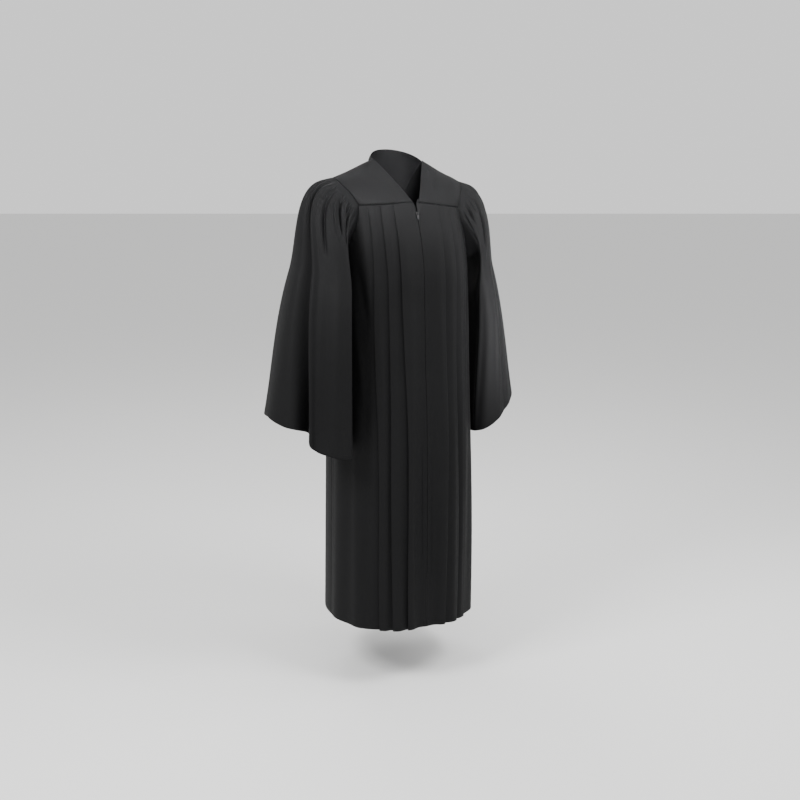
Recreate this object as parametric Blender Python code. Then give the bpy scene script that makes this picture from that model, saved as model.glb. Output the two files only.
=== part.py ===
"""Graduation gown: front and back yokes, two pleated fronts with a zip, a gathered back and two bell sleeves.

Metres, +Z up. The wearer faces -Y and the wearer's left is +X. The origin is the middle of the neck's base,
level with the two points where the shoulder seams meet the neck.
"""
from collections import namedtuple

import bmesh
import bpy
import numpy as np
from mathutils import Matrix, Vector

# Driving dimensions of the cloth and its seams
WALL = 0.0013
SEAM_GAP = 0.0010
ARMHOLE_GAP = 0.0013
ARMHOLE_LIFT = 0.0008
HEM_Z = -1.323
SIDE_NECK = (0.076, 0.0, 0.003)
NAPE = (0.0, 0.066, 0.030)
SHOULDER_END = (0.196, 0.0, -0.052)
SHOULDER_DIP = 0.002
NECK_CORNER_X = 0.010
NECK_CORNER_Z = -0.107
NECK_POINT_Z = -0.122
YOKE_CORNER_X = 0.152
YOKE_CORNER_Z = -0.122
BACK_YOKE_Z = -0.130
UNDERARM_Z = -0.285
ROUNDNESS = 2.35
SHOULDER_TILT = 0.045
TILT_TOP_Z = -0.13
TILT_END_Z = -0.36
TILT_LEFT_BELOW = 0.6

# Yokes: the neck's share of the back yoke's width, and how the cloth leaves the upper seam and reaches the lower
# one, as the handles of its curve at the neck and at the armhole
NECK_SHARE = 0.42
YOKE_LIFT = 0.0022
BACK_YOKE_LIFT = 0.0005
YOKE_ROWS = 8
FRONT_YOKE_COLUMNS = 8
BACK_NECK_COLUMNS = 8
FRONT_TOP_AT_NECK = (-0.021, -0.036, -0.030)
FRONT_TOP_AT_ARMHOLE = (-0.007, -0.032, -0.010)
FRONT_TOP_BETWEEN = (0.0, -0.012, 0.004)
FRONT_SEAM_AT_NECK = (0.022, 0.033, 0.040)
FRONT_SEAM_AT_ARMHOLE = (0.012, 0.010, 0.030)
FRONT_SEAM_BETWEEN = (0.0, -0.006, 0.004)
BACK_TOP_AT_NAPE = (0.0, 0.012, -0.038)
BACK_TOP_AT_NECK = (0.006, 0.032, -0.016)
BACK_TOP_AT_ARMHOLE = (-0.006, 0.032, -0.010)
BACK_SEAM_AT_MIDDLE = (0.0, -0.001, 0.062)
BACK_SEAM_AT_ARMHOLE = (0.012, -0.008, 0.030)

# The body's outline at each height: half its width, and how far it reaches to the front and to the back
Section = namedtuple("Section", "z half_width front back")
BODY = (
    Section(-0.10, 0.183, 0.106, 0.104),
    Section(-0.14, 0.187, 0.121, 0.112),
    Section(-0.19, 0.192, 0.141, 0.126),
    Section(-0.28, 0.198, 0.163, 0.145),
    Section(-0.40, 0.201, 0.170, 0.156),
    Section(-0.55, 0.204, 0.177, 0.165),
    Section(-0.70, 0.2075, 0.187, 0.174),
    Section(-0.94, 0.212, 0.193, 0.182),
    Section(HEM_Z, 0.219, 0.191, 0.190),
)

# Where the armhole's edge runs down the front and the back, from the yoke's corners to the underarm
Armhole = namedtuple("Armhole", "z front_y back_y")
ARMHOLE = (
    Armhole(YOKE_CORNER_Z, -0.074, 0.078),
    Armhole(-0.145, -0.079, 0.082),
    Armhole(-0.175, -0.081, 0.083),
    Armhole(-0.205, -0.076, 0.078),
    Armhole(-0.235, -0.064, 0.066),
    Armhole(-0.262, -0.042, 0.043),
    Armhole(UNDERARM_Z, 0.0, 0.0),
)
ROWS_BELOW_ARMHOLE = (-0.33, -0.42, -0.55, -0.71, -0.90, -1.11, HEM_Z)

# Knife pleats of each front: the distance of the fold's edge from the centre at the yoke, halfway and at the hem
Pleat = namedtuple("Pleat", "at_yoke halfway at_hem")
PLEATS = (
    Pleat(0.067, 0.062, 0.059),
    Pleat(0.103, 0.104, 0.103),
    Pleat(0.133, 0.137, 0.135),
)
PLEAT_LAP = 0.014
PLEAT_RISE_AT_YOKE = 0.0045
PLEAT_RISE_AT_HEM = 0.0075
PLEAT_FLATNESS = 0.94
PLEAT_SLOPE = 0.002
PLEAT_UNDER = 0.5
PLEAT_FOOT = 0.004
CENTRE_EDGE = 0.0016
CENTRE_SWELL_X = 0.030
CENTRE_SWELL = 0.30
SIDE_COLUMNS = 6

# Gathers of the back: they fall from the yoke's seam, and the cloth beside them is plain
BACK_GATHERS = 12
GATHER_COLUMNS = 5
GATHER_DEPTH_AT_YOKE = 0.0035
GATHER_DEPTH_AT_HEM = 0.0100
GATHERED_HALF_AT_YOKE = 0.146
GATHERED_HALF_AT_HEM = 0.225
GATHERED_LIMIT = 0.92
GATHER_FADE = 6.0
GATHER_SWING = 0.60
GATHER_SHARE = 0.80
BROAD_FOLDS = 5.0
BROAD_SHARE = 0.25
PLAIN_COLUMNS = 5

# Sleeves: the way the cloth leaves the armhole, by the angle round the sleeve from its outer side to its front
Leave = namedtuple("Leave", "angle out forward down width")
LEAVE = (
    Leave(0, 0.97, 0.00, 0.25, 0.052),
    Leave(65, 0.72, 0.46, 0.52, 0.044),
    Leave(120, 0.70, 0.44, 0.56, 0.034),
    Leave(180, 0.76, 0.00, 0.65, 0.024),
    Leave(240, 0.70, -0.44, 0.56, 0.034),
    Leave(295, 0.72, -0.46, 0.52, 0.044),
    Leave(360, 0.97, 0.00, 0.25, 0.052),
)
FRONT_CORNER_ANGLE = 66
BACK_CORNER_ANGLE = 294

# Sleeves: one ring above the elbow and one at the hem. The shifts draw the front and back towards the body.
Ring = namedtuple("Ring", "outer inner front back front_shift back_shift")
RINGS = {
    "right": (Ring(0.320, 0.2150, -0.166, 0.125, 0.045, 0.026), Ring(0.400, 0.2195, -0.172, 0.190, 0.070, 0.036)),
    "left": (Ring(0.296, 0.2150, -0.100, 0.125, 0.020, 0.022), Ring(0.375, 0.2195, -0.096, 0.195, 0.030, 0.030)),
}
# Heights of the two rings by the angle round the sleeve
Height = namedtuple("Height", "angle elbow right_hem left_hem")
HEIGHTS = (
    Height(0, -0.296, -0.703, -0.664),
    Height(22, -0.302, -0.717, -0.680),
    Height(41, -0.314, -0.732, -0.700),
    Height(53, -0.325, -0.772, -0.715),
    Height(70, -0.335, -0.790, -0.735),
    Height(90, -0.344, -0.800, -0.760),
    Height(135, -0.385, -0.792, -0.782),
    Height(180, -0.400, -0.786, -0.784),
    Height(225, -0.380, -0.776, -0.772),
    Height(270, -0.335, -0.748, -0.742),
    Height(315, -0.310, -0.716, -0.706),
    Height(360, -0.296, -0.703, -0.664),
)
RING_ROUNDNESS = 2.2
CAP_SHARE = {"right": 0.80, "left": 0.66}

# How far the way out of the armhole still shows where the cap turns down
CAP_BEND = 0.25

# The cap is gathered in: a line of the cloth that starts at the first angle hangs at the second one at the hem
Turn = namedtuple("Turn", "at_cap at_hem")
TURNS = (
    Turn(0, 0), Turn(12, 38), Turn(30, 60), Turn(FRONT_CORNER_ANGLE, 94), Turn(120, 138), Turn(180, 180),
    Turn(240, 222), Turn(BACK_CORNER_ANGLE, 266), Turn(330, 302), Turn(348, 327), Turn(360, 360),
)
TURNED_AT_ELBOW = 0.75

# Folds of each sleeve: the angle where a fold leaves the cap, its half width, and how far it sinks in (or,
# below zero, stands out) near the cap, halfway and at the hem
Fold = namedtuple("Fold", "angle spread at_cap halfway at_hem")
FOLDS = {
    "right": (
        Fold(11, 3.6, 0.012, 0.028, 0.055),
        Fold(20, 3.2, -0.004, -0.007, -0.012),
        Fold(30, 2.6, 0.008, 0.001, 0.000),
        Fold(41, 3.4, 0.012, 0.003, 0.000),
        Fold(52, 2.6, 0.008, 0.002, 0.000),
        Fold(62, 3.0, 0.006, 0.004, 0.003),
        Fold(349, 3.6, 0.010, 0.014, 0.024),
        Fold(338, 3.2, 0.009, 0.004, 0.004),
        Fold(326, 3.4, 0.010, 0.006, 0.012),
        Fold(314, 3.0, 0.008, 0.003, 0.002),
        Fold(302, 3.2, 0.007, 0.005, 0.007),
    ),
    "left": (
        Fold(12, 3.0, 0.008, 0.004, 0.002),
        Fold(24, 3.4, 0.011, 0.005, 0.002),
        Fold(37, 3.0, 0.008, 0.003, 0.000),
        Fold(49, 3.2, 0.011, 0.010, 0.010),
        Fold(61, 2.8, 0.006, 0.004, 0.003),
        Fold(350, 3.6, 0.010, 0.012, 0.020),
        Fold(338, 3.2, 0.008, 0.004, 0.004),
        Fold(326, 3.4, 0.010, 0.006, 0.012),
        Fold(314, 3.0, 0.007, 0.003, 0.002),
        Fold(302, 3.2, 0.007, 0.005, 0.006),
    ),
}
SLEEVE_ROWS = (0.0, 0.028, 0.06, 0.10, 0.15, 0.22, 0.31, 0.43, 0.57, 0.72, 0.86, 1.0)
ROLL_END = 0.07

# Zip: its tapes lie behind the fronts, its chain between them
TAPE_EDGE = 0.0022
TAPE_WIDTH = 0.013
TAPE_WALL = 0.0010
TAPE_BEHIND = 0.0017
TAPE_TOP_Z = -0.1240
ZIP_BOTTOM_Z = -1.200
TAPE_BELOW_CHAIN = 0.010
CHAIN_HALF = 0.0018
CHAIN_DEPTH = 0.0017
CHAIN_BEHIND = 0.0020

# Slider, in its own frame: x across, u up the slope of the chest, n out of the cloth
SLIDER_Z = -0.1395
SLIDER_HALF_LENGTH = 0.0045
SLIDER_HALF_WIDTH = 0.0036
PLATE_BEVEL = 0.0004
SINK = 0.0005
PLATE_BOTTOM_N = 0.0011
PLATE_TOP_N = 0.0023
BACK_PLATE_TOP_N = -0.0032
BACK_PLATE_BOTTOM_N = -0.0042
NECK_HALF_WIDTH = 0.0010
NECK_LOW_U = 0.0006
BRIDGE_HALF_WIDTH = 0.0008
BRIDGE_HALF_SPAN = 0.0034
BRIDGE_RISE = 0.0032
BRIDGE_BAND = 0.0009
BRIDGE_STEPS = 12

# Pull tab, hanging from the bridge by the bar above its eye
PIVOT_U = -0.0004
PIVOT_N = PLATE_TOP_N + 0.00108
PULL_BAR_HALF = 0.00055
PULL_EYE_END = 0.0045
PULL_EYE_HALF_WIDTH = 0.0015
PULL_HALF_WIDTH_TOP = 0.0024
PULL_HALF_WIDTH_END = 0.0031
PULL_LENGTH = 0.0165
PULL_EYE_SQUARE = 0.35
PULL_SIDE_SQUARE = 0.5
PULL_END_SQUARE = 0.6
PULL_POINTS = 36

CLOTH_COLOUR = (0.016, 0.016, 0.017, 1.0)
ZIP_COLOUR = (0.012, 0.012, 0.013, 1.0)
METAL_COLOUR = (0.20, 0.20, 0.21, 1.0)


def smooth_curve(knots, values, at):
    """Read a smooth curve through the table's values (cubic, with the slopes of the neighbours)."""
    knots = np.asarray(knots, float)
    values = np.asarray(values, float)
    if knots[0] > knots[-1]:
        knots = knots[::-1]
        values = values[::-1]
    slopes = np.gradient(values, knots, axis=0)
    at = min(max(at, knots[0]), knots[-1])
    k = int(min(max(np.searchsorted(knots, at) - 1, 0), len(knots) - 2))
    width = knots[k + 1] - knots[k]
    t = (at - knots[k]) / width
    start = (1 + 2 * t) * (1 - t) ** 2 * values[k] + t * (1 - t) ** 2 * width * slopes[k]
    end = t * t * (3 - 2 * t) * values[k + 1] - t * t * (1 - t) * width * slopes[k + 1]
    return start + end


def column(table, name):
    """One named column of a table."""
    return [getattr(row, name) for row in table]


class Outline:
    """Half of the body's outline at one height, from the centre front round the side to the centre back."""

    def __init__(self, z):
        heights = column(BODY, "z")
        half_width, front, back = (smooth_curve(heights, column(BODY, name), z)
                                   for name in ("half_width", "front", "back"))
        turn = np.linspace(0.0, np.pi, 361)
        power = 2.0 / ROUNDNESS
        self.x = half_width * np.abs(np.sin(turn)) ** power
        depth = np.where(turn < np.pi / 2, front, back)
        self.y = -depth * np.sign(np.cos(turn)) * np.abs(np.cos(turn)) ** power
        self.x[0] = 0.0
        self.x[-1] = 0.0
        steps = np.hypot(np.diff(self.x), np.diff(self.y))
        self.length = np.concatenate(([0.0], np.cumsum(steps)))
        self.side = self.length[len(turn) // 2]

    def at_x(self, x):
        """Length from the centre front to where the front is x from the middle."""
        half = len(self.x) // 2 + 1
        return float(np.interp(x, self.x[:half], self.length[:half]))

    def at_y(self, y):
        """Length from the centre front to where the outline is y behind the origin."""
        return float(np.interp(y, self.y, self.length))

    def point(self, length, out, z, side):
        """The point at a length along the outline, moved out from it."""
        x = np.interp(length, self.length, self.x)
        y = np.interp(length, self.length, self.y)
        ahead = min(length + 0.004, self.length[-1])
        behind = max(length - 0.004, 0.0)
        dx = np.interp(ahead, self.length, self.x) - np.interp(behind, self.length, self.x)
        dy = np.interp(ahead, self.length, self.y) - np.interp(behind, self.length, self.y)
        size = np.hypot(dx, dy)
        return Vector((side * (x + out * dy / size), y - out * dx / size, z))


def seam_height(x):
    """Height of the front yoke's lower seam, or of the neck's edge between the seam and the neck's point."""
    if x < NECK_CORNER_X:
        return NECK_POINT_Z + (NECK_CORNER_Z - NECK_POINT_Z) * x / NECK_CORNER_X
    along = (x - NECK_CORNER_X) / (YOKE_CORNER_X - NECK_CORNER_X)
    return NECK_CORNER_Z + (YOKE_CORNER_Z - NECK_CORNER_Z) * along


def pleat_rise(z):
    """How far a pleat's fold stands above the cloth under it."""
    along = (z - YOKE_CORNER_Z) / (HEM_Z - YOKE_CORNER_Z)
    return PLEAT_RISE_AT_YOKE + (PLEAT_RISE_AT_HEM - PLEAT_RISE_AT_YOKE) * min(max(along, 0.0), 1.0) ** 0.5


def front_section(outline, z, side_edge):
    """One front's section as pairs of length and rise, from the centre edge over the pleats to the side edge."""
    rise = pleat_rise(z)
    middle_z = 0.5 * (YOKE_CORNER_Z + HEM_Z)
    section = [(CENTRE_EDGE, 0.0), (NECK_CORNER_X, 0.0), (CENTRE_SWELL_X, CENTRE_SWELL * rise)]
    for pleat in PLEATS:
        edge_x = smooth_curve((YOKE_CORNER_Z, middle_z, HEM_Z), (pleat.at_yoke, pleat.halfway, pleat.at_hem), z)
        fold = outline.at_x(edge_x)
        section += [
            (fold - PLEAT_LAP - PLEAT_SLOPE, PLEAT_FLATNESS * rise),
            (fold, rise),
            (fold, PLEAT_UNDER * rise),
            (fold - PLEAT_LAP, PLEAT_UNDER * rise),
            (fold - PLEAT_LAP, 0.0),
            (fold + PLEAT_FOOT, 0.0),
        ]
    last = section[-1][0]
    section += [(last + (side_edge - last) * k / SIDE_COLUMNS, 0.0) for k in range(1, SIDE_COLUMNS + 1)]
    return section


def side_edge_length(outline, z, name):
    """Length along the outline to the armhole's edge, or to the side seam below it."""
    if z <= UNDERARM_Z:
        return outline.side
    heights = column(ARMHOLE, "z")
    return outline.at_y(smooth_curve(heights, column(ARMHOLE, name), z))


def front_rows():
    """Heights of the front's rows below the yoke seam."""
    return column(ARMHOLE, "z")[1:] + list(ROWS_BELOW_ARMHOLE)


def front_points(side):
    """Rows of points of one front, from the yoke seam to the hem."""
    top = Outline(YOKE_CORNER_Z)
    rows = []
    first = []
    for length, rise in front_section(top, YOKE_CORNER_Z, side_edge_length(top, YOKE_CORNER_Z, "front_y")):
        x = float(np.interp(length, top.length, top.x))
        z = seam_height(x)
        first.append(Outline(z).point(length, rise, z - 0.5 * SEAM_GAP, side))
    rows.append(first)
    for z in front_rows():
        outline = Outline(z)
        edge = side_edge_length(outline, z, "front_y")
        if z <= UNDERARM_Z:
            edge -= 0.5 * SEAM_GAP
        rows.append([outline.point(length, rise, z, side) for length, rise in front_section(outline, z, edge)])
    return rows


def back_gather(across, z):
    """How far the back's gathers stand out; across runs from -1 to 1 over the gathered part."""
    down = min(max((z - BACK_YOKE_Z) / (HEM_Z - BACK_YOKE_Z), 0.0), 1.0)
    depth = GATHER_DEPTH_AT_YOKE + (GATHER_DEPTH_AT_HEM - GATHER_DEPTH_AT_YOKE) * down ** 0.6
    fade = min(1.0, GATHER_FADE * (1.0 - abs(across)))
    swing = GATHER_SWING * np.sin(2.0 * np.pi * (across + 0.5 * down))
    wave = np.cos(np.pi * (BACK_GATHERS * across + swing))
    return depth * fade * (GATHER_SHARE * wave + BROAD_SHARE * np.cos(np.pi * BROAD_FOLDS * across + 1.0))


def back_points():
    """Rows of points of the back, from the yoke seam to the hem, from the wearer's right side to the left."""
    gathered = BACK_GATHERS * GATHER_COLUMNS
    rows = []
    for z in [YOKE_CORNER_Z] + front_rows():
        outline = Outline(z)
        edge = side_edge_length(outline, z, "back_y")
        if z <= UNDERARM_Z:
            edge += 0.5 * SEAM_GAP
        half = outline.length[-1] - edge
        down = (z - YOKE_CORNER_Z) / (HEM_Z - YOKE_CORNER_Z)
        inner = GATHERED_HALF_AT_YOKE + (GATHERED_HALF_AT_HEM - GATHERED_HALF_AT_YOKE) * down ** 0.5
        inner = min(inner, GATHERED_LIMIT * half)
        plain = [inner + (half - inner) * k / PLAIN_COLUMNS for k in range(1, PLAIN_COLUMNS + 1)]
        places = [(-place, 0.0) for place in reversed(plain)]
        for k in range(gathered + 1):
            across = 2.0 * k / gathered - 1.0
            places.append((across * inner, back_gather(across, z)))
        places += [(place, 0.0) for place in plain]
        row = []
        for place, out in places:
            height = z
            if z == YOKE_CORNER_Z:
                height = back_seam_height(abs(place) / half) - 0.5 * SEAM_GAP
            side = 1.0 if place > 0.0 else -1.0
            row.append(outline.point(outline.length[-1] - abs(place), out, height, side))
        rows.append(row)
    return rows


def back_seam_height(along):
    """Height of the back yoke's lower seam, by the part of the way from the middle to its corner."""
    return BACK_YOKE_Z + (YOKE_CORNER_Z - BACK_YOKE_Z) * along ** 2


def bezier(start, first, second, end, t):
    """A point of a cubic curve."""
    s = 1.0 - t
    return s ** 3 * start + 3 * s * s * t * first + 3 * s * t * t * second + t ** 3 * end


def mix(first, second, t):
    """A vector part of the way between two."""
    return Vector(first) * (1.0 - t) + Vector(second) * t


def shoulder_point(along):
    """A point of the shoulder seam, from the neck to the armhole."""
    return mix(SIDE_NECK, SHOULDER_END, along) - Vector((0.0, 0.0, SHOULDER_DIP * np.sin(np.pi * along)))


def front_yoke_column(along, side):
    """One line down the front yoke, from the shoulder seam to the lower seam."""
    top = shoulder_point(along)
    corner = Outline(YOKE_CORNER_Z)
    edge_x = float(np.interp(side_edge_length(corner, YOKE_CORNER_Z, "front_y"), corner.length, corner.x))
    x = NECK_CORNER_X + (edge_x - NECK_CORNER_X) * along
    z = seam_height(x)
    outline = Outline(z)
    bottom = outline.point(outline.at_x(x), YOKE_LIFT * (1.0 - along ** 6), z + 0.5 * SEAM_GAP, 1.0)
    between = 4.0 * along * (1.0 - along)
    first = top + mix(FRONT_TOP_AT_NECK, FRONT_TOP_AT_ARMHOLE, along) + Vector(FRONT_TOP_BETWEEN) * between
    second = bottom + mix(FRONT_SEAM_AT_NECK, FRONT_SEAM_AT_ARMHOLE, along) + Vector(FRONT_SEAM_BETWEEN) * between
    points = [bezier(top, first, second, bottom, k / YOKE_ROWS) for k in range(YOKE_ROWS + 1)]
    points[0] = points[0] + Vector((0.0, -0.5 * SEAM_GAP, 0.0))
    return [Vector((side * p.x, p.y, p.z)) for p in points]


def back_yoke_column(along):
    """One line down the back yoke. Below zero it is on the wearer's right; the neck lies within NECK_SHARE."""
    side = 1.0 if along >= 0.0 else -1.0
    part = abs(along)
    if part <= NECK_SHARE:
        turn = 0.5 * np.pi * (1.0 - part / NECK_SHARE)
        top = Vector((SIDE_NECK[0] * np.cos(turn), NAPE[1] * np.sin(turn), NAPE[2] * np.sin(turn)))
        outward = mix(BACK_TOP_AT_NAPE, BACK_TOP_AT_NECK, np.cos(turn))
    else:
        over = (part - NECK_SHARE) / (1.0 - NECK_SHARE)
        top = shoulder_point(over)
        outward = mix(BACK_TOP_AT_NECK, BACK_TOP_AT_ARMHOLE, over)
    corner = Outline(YOKE_CORNER_Z)
    half = corner.length[-1] - side_edge_length(corner, YOKE_CORNER_Z, "back_y")
    z = back_seam_height(part)
    outline = Outline(z)
    bottom = outline.point(outline.length[-1] - part * half, BACK_YOKE_LIFT, z + 0.5 * SEAM_GAP, 1.0)
    second = bottom + mix(BACK_SEAM_AT_MIDDLE, BACK_SEAM_AT_ARMHOLE, part)
    points = [bezier(top, top + outward, second, bottom, k / YOKE_ROWS) for k in range(YOKE_ROWS + 1)]
    if part >= NECK_SHARE:
        points[0] = points[0] + Vector((0.0, 0.5 * SEAM_GAP, 0.0))
    return [Vector((side * p.x, p.y, p.z)) for p in points]


def back_yoke_shares():
    """The lines of the back yoke, from the wearer's right armhole to the left."""
    over_neck = list(np.linspace(-NECK_SHARE, NECK_SHARE, BACK_NECK_COLUMNS + 1))
    shoulder = list(np.linspace(NECK_SHARE, 1.0, FRONT_YOKE_COLUMNS))[1:]
    return [-s for s in reversed(shoulder)] + over_neck + shoulder


def armhole_edge(side):
    """The sleeve's upper edge, as one loop from the shoulder down the front and up the back.

    Each entry is a point just clear of the armhole's edge, and its angle round the sleeve.
    """
    front = front_points(side)[:len(ARMHOLE) + 1]
    back = back_points()[:len(ARMHOLE) + 1]
    edge, inside = (-1, -4) if side > 0 else (0, 3)
    stretches = (
        (front_yoke_column(1.0, side), front_yoke_column(1.0 - 1.0 / FRONT_YOKE_COLUMNS, side),
         0.0, FRONT_CORNER_ANGLE, 3),
        ([row[-1] for row in front[:-1]], [row[-4] for row in front[1:]],
         FRONT_CORNER_ANGLE, 180.0, 2),
        ([row[edge] for row in back[:-1]][::-1], [row[inside] for row in back[1:]][::-1],
         180.0, BACK_CORNER_ANGLE, 2),
        (back_yoke_column(side)[::-1], back_yoke_column(side * back_yoke_shares()[-2])[::-1],
         BACK_CORNER_ANGLE, 360.0, 3),
    )
    loop = []
    for points, inner, start, end, share in stretches:
        lengths = [0.0]
        for a, b in zip(points, points[1:]):
            lengths.append(lengths[-1] + (b - a).length)
        for k in range(len(points) - 1):
            for part in range(share):
                t = part / share
                here = lengths[k] + (lengths[k + 1] - lengths[k]) * t
                angle = start + (end - start) * here / lengths[-1]
                loop.append((points[k].lerp(points[k + 1], t), inner[k].lerp(inner[k + 1], t), angle))
    clear = []
    for k, (point, inner, angle) in enumerate(loop):
        along = (loop[(k + 1) % len(loop)][0] - loop[k - 1][0]).normalized()
        away = point - inner
        away = (away - along * away.dot(along)).normalized()
        lift = along.cross(away)
        if lift.dot(Vector((side * 1.0, point.y * 4.0, 0.3))) < 0.0:
            lift.negate()
        clear.append((point + away * ARMHOLE_GAP + lift * ARMHOLE_LIFT, angle))
    return clear


def turned(angle, share):
    """The angle at which a line of the cloth hangs, part of the way from its angle at the cap to that at the hem."""
    at_hem = smooth_curve(column(TURNS, "at_cap"), column(TURNS, "at_hem"), angle)
    return angle + (at_hem - angle) * share


def rounded(value, power):
    """A power of a value that keeps its sign, which makes a circle squarer."""
    return np.sign(value) * abs(value) ** power


def ring_point(ring, angle, heights):
    """A point of a sleeve's ring at an angle, as on the wearer's left."""
    turn = np.radians(angle)
    across = rounded(np.cos(turn), 2.0 / RING_ROUNDNESS)
    forward = rounded(np.sin(turn), 2.0 / RING_ROUNDNESS)
    middle = 0.5 * (ring.outer + ring.inner)
    half = 0.5 * (ring.outer - ring.inner)
    shift = ring.front_shift if forward > 0 else ring.back_shift
    reach = ring.front if forward > 0 else ring.back
    lean = shift * forward ** 2
    x = max(middle + half * across - lean, ring.inner)
    y = reach * abs(forward)
    return Vector((x, y, smooth_curve(column(HEIGHTS, "angle"), column(HEIGHTS, heights), angle)))


def sleeve_base(side, t, angle, start):
    """A point of the sleeve before its folds: along a smooth line through the armhole, the cap and two rings."""
    angles = column(LEAVE, "angle")
    out, forward, down, width = (smooth_curve(angles, column(LEAVE, name), angle)
                                 for name in ("out", "forward", "down", "width"))
    leave = Vector((out, -forward, -down)).normalized()
    start = Vector((abs(start.x), start.y, start.z))
    width *= CAP_SHARE[side]
    cap = start + leave * width
    upper = ring_point(RINGS[side][0], turned(angle, TURNED_AT_ELBOW), "elbow")
    hem = ring_point(RINGS[side][1], turned(angle, 1.0), side + "_hem")
    knots = [0.0]
    stations = (start, cap, upper, hem)
    for a, b in zip(stations, stations[1:]):
        knots.append(knots[-1] + (b - a).length)
    knots = np.array(knots) / knots[-1]
    values = np.array([list(p) for p in stations])
    slopes = np.gradient(values, knots, axis=0)
    slopes[0] = np.array(leave) * width / knots[1]
    slopes[1] = CAP_BEND * slopes[0] + (1.0 - CAP_BEND) * slopes[1]
    k = int(min(np.searchsorted(knots, t, side="right") - 1, 2))
    span = knots[k + 1] - knots[k]
    u = (t - knots[k]) / span
    near = (1 + 2 * u) * (1 - u) ** 2 * values[k] + u * (1 - u) ** 2 * span * slopes[k]
    far = u * u * (3 - 2 * u) * values[k + 1] - u * u * (1 - u) * span * slopes[k + 1]
    return Vector(near + far)


def fold_depth(side, t, angle):
    """How far the sleeve's folds sink in at a point."""
    total = 0.0
    grow = min(t / ROLL_END, 1.0) ** 2
    for fold in FOLDS[side]:
        depth = smooth_curve((0.0, 0.45, 1.0), (fold.at_cap, fold.halfway, fold.at_hem), t)
        away = (angle - fold.angle + 180.0) % 360.0 - 180.0
        total += depth * grow * np.exp(-(away / fold.spread) ** 2)
    return total


def sleeve_points(name, side):
    """Rows of points of one sleeve, from the armhole to the hem, closed round."""
    loop = armhole_edge(side)
    base = [[sleeve_base(name, t, angle, start) for start, angle in loop] for t in SLEEVE_ROWS]
    count = len(loop)
    rows = []
    for i, t in enumerate(SLEEVE_ROWS):
        row = []
        for k, (start, angle) in enumerate(loop):
            down = base[min(i + 1, len(base) - 1)][k] - base[max(i - 1, 0)][k]
            round_ = base[i][(k + 1) % count] - base[i][(k - 1) % count]
            inward = down.cross(round_).normalized()
            point = base[i][k] + inward * fold_depth(name, t, angle)
            row.append(Vector((side * point.x, point.y, point.z)))
        rows.append(row)
    return rows


def tilted(point):
    """The gown hangs a little lower on its left: every point follows that slope, most near the shoulders."""
    fade = min(max((point.z - TILT_END_Z) / (TILT_TOP_Z - TILT_END_Z), 0.0), 1.0)
    share = TILT_LEFT_BELOW + (1.0 - TILT_LEFT_BELOW) * fade * fade * (3.0 - 2.0 * fade)
    return Vector((point.x, point.y, point.z - SHOULDER_TILT * point.x * share))


def cloth_object(name, rows, closed, material, wall=WALL):
    """A sheet through rows of points, given its thickness by a solidify modifier."""
    rows = [[tilted(point) for point in row] for row in rows]
    across = len(rows[0])
    width = across + 1 if closed else across
    mesh = bpy.data.meshes.new(name)
    sheet = bmesh.new()
    bmesh.ops.create_grid(sheet, x_segments=width - 1, y_segments=len(rows) - 1, size=1.0)
    sheet.verts.ensure_lookup_table()
    order = sorted(sheet.verts, key=lambda v: (round(v.co.y, 5), round(v.co.x, 5)))
    for index, vert in enumerate(order):
        vert.co = rows[index // width][(index % width) % across]
    if closed:
        bmesh.ops.remove_doubles(sheet, verts=sheet.verts, dist=1e-6)
    bmesh.ops.triangulate(sheet, faces=sheet.faces)
    sheet.to_mesh(mesh)
    sheet.free()
    thing = bpy.data.objects.new(name, mesh)
    bpy.context.scene.collection.objects.link(thing)
    thing.data.materials.append(material)
    thicken = thing.modifiers.new("wall", "SOLIDIFY")
    thicken.thickness = wall
    thicken.offset = 0.0
    thicken.use_even_offset = True
    return thing


def zip_rows(top, bottom):
    """Heights along the zip: its ends, and the fronts' rows between them, so that both bend at the same places."""
    return [top] + [z for z in front_rows() if bottom < z < top] + [bottom]


def zip_strip(name, inner_x, outer_x, top, bottom, behind, wall, material):
    """A strip that follows the fronts' centre edge at a distance behind it."""
    rows = []
    for z in zip_rows(top, bottom):
        outline = Outline(z)
        ends = [outline.point(outline.at_x(abs(x)), -behind, z, 1.0 if x > 0 else -1.0) for x in (inner_x, outer_x)]
        rows.append(ends)
    return cloth_object(name, rows, False, material, wall)


def slider_frame():
    """The slider's place: across, up the slope of the centre front, and out of the cloth."""
    step = 0.004
    above, here, below = (Outline(SLIDER_Z + rise).point(0.0, 0.0, SLIDER_Z + rise, 1.0)
                          for rise in (step, 0.0, -step))
    up = (above - below).normalized()
    out = Vector((1.0, 0.0, 0.0)).cross(up)
    return Matrix(((1.0, up.x, out.x, here.x), (0.0, up.y, out.y, here.y), (0.0, up.z, out.z, here.z), (0, 0, 0, 1)))


def add_box(shape, half_width, low_u, high_u, low_n, high_n):
    """Add a box, in the slider's frame, to a bmesh."""
    centre = Matrix.Translation((0.0, 0.5 * (low_u + high_u), 0.5 * (low_n + high_n)))
    size = Matrix.Diagonal((2.0 * half_width, high_u - low_u, high_n - low_n, 1.0))
    bmesh.ops.create_cube(shape, size=1.0, matrix=centre @ size)


def object_from(shape, name, frame, material):
    """Turn a bmesh into an object placed in the slider's frame."""
    bmesh.ops.recalc_face_normals(shape, faces=shape.faces)
    mesh = bpy.data.meshes.new(name)
    shape.to_mesh(mesh)
    shape.free()
    thing = bpy.data.objects.new(name, mesh)
    bpy.context.scene.collection.objects.link(thing)
    thing.matrix_world = frame
    mesh.materials.append(material)
    return thing


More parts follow.
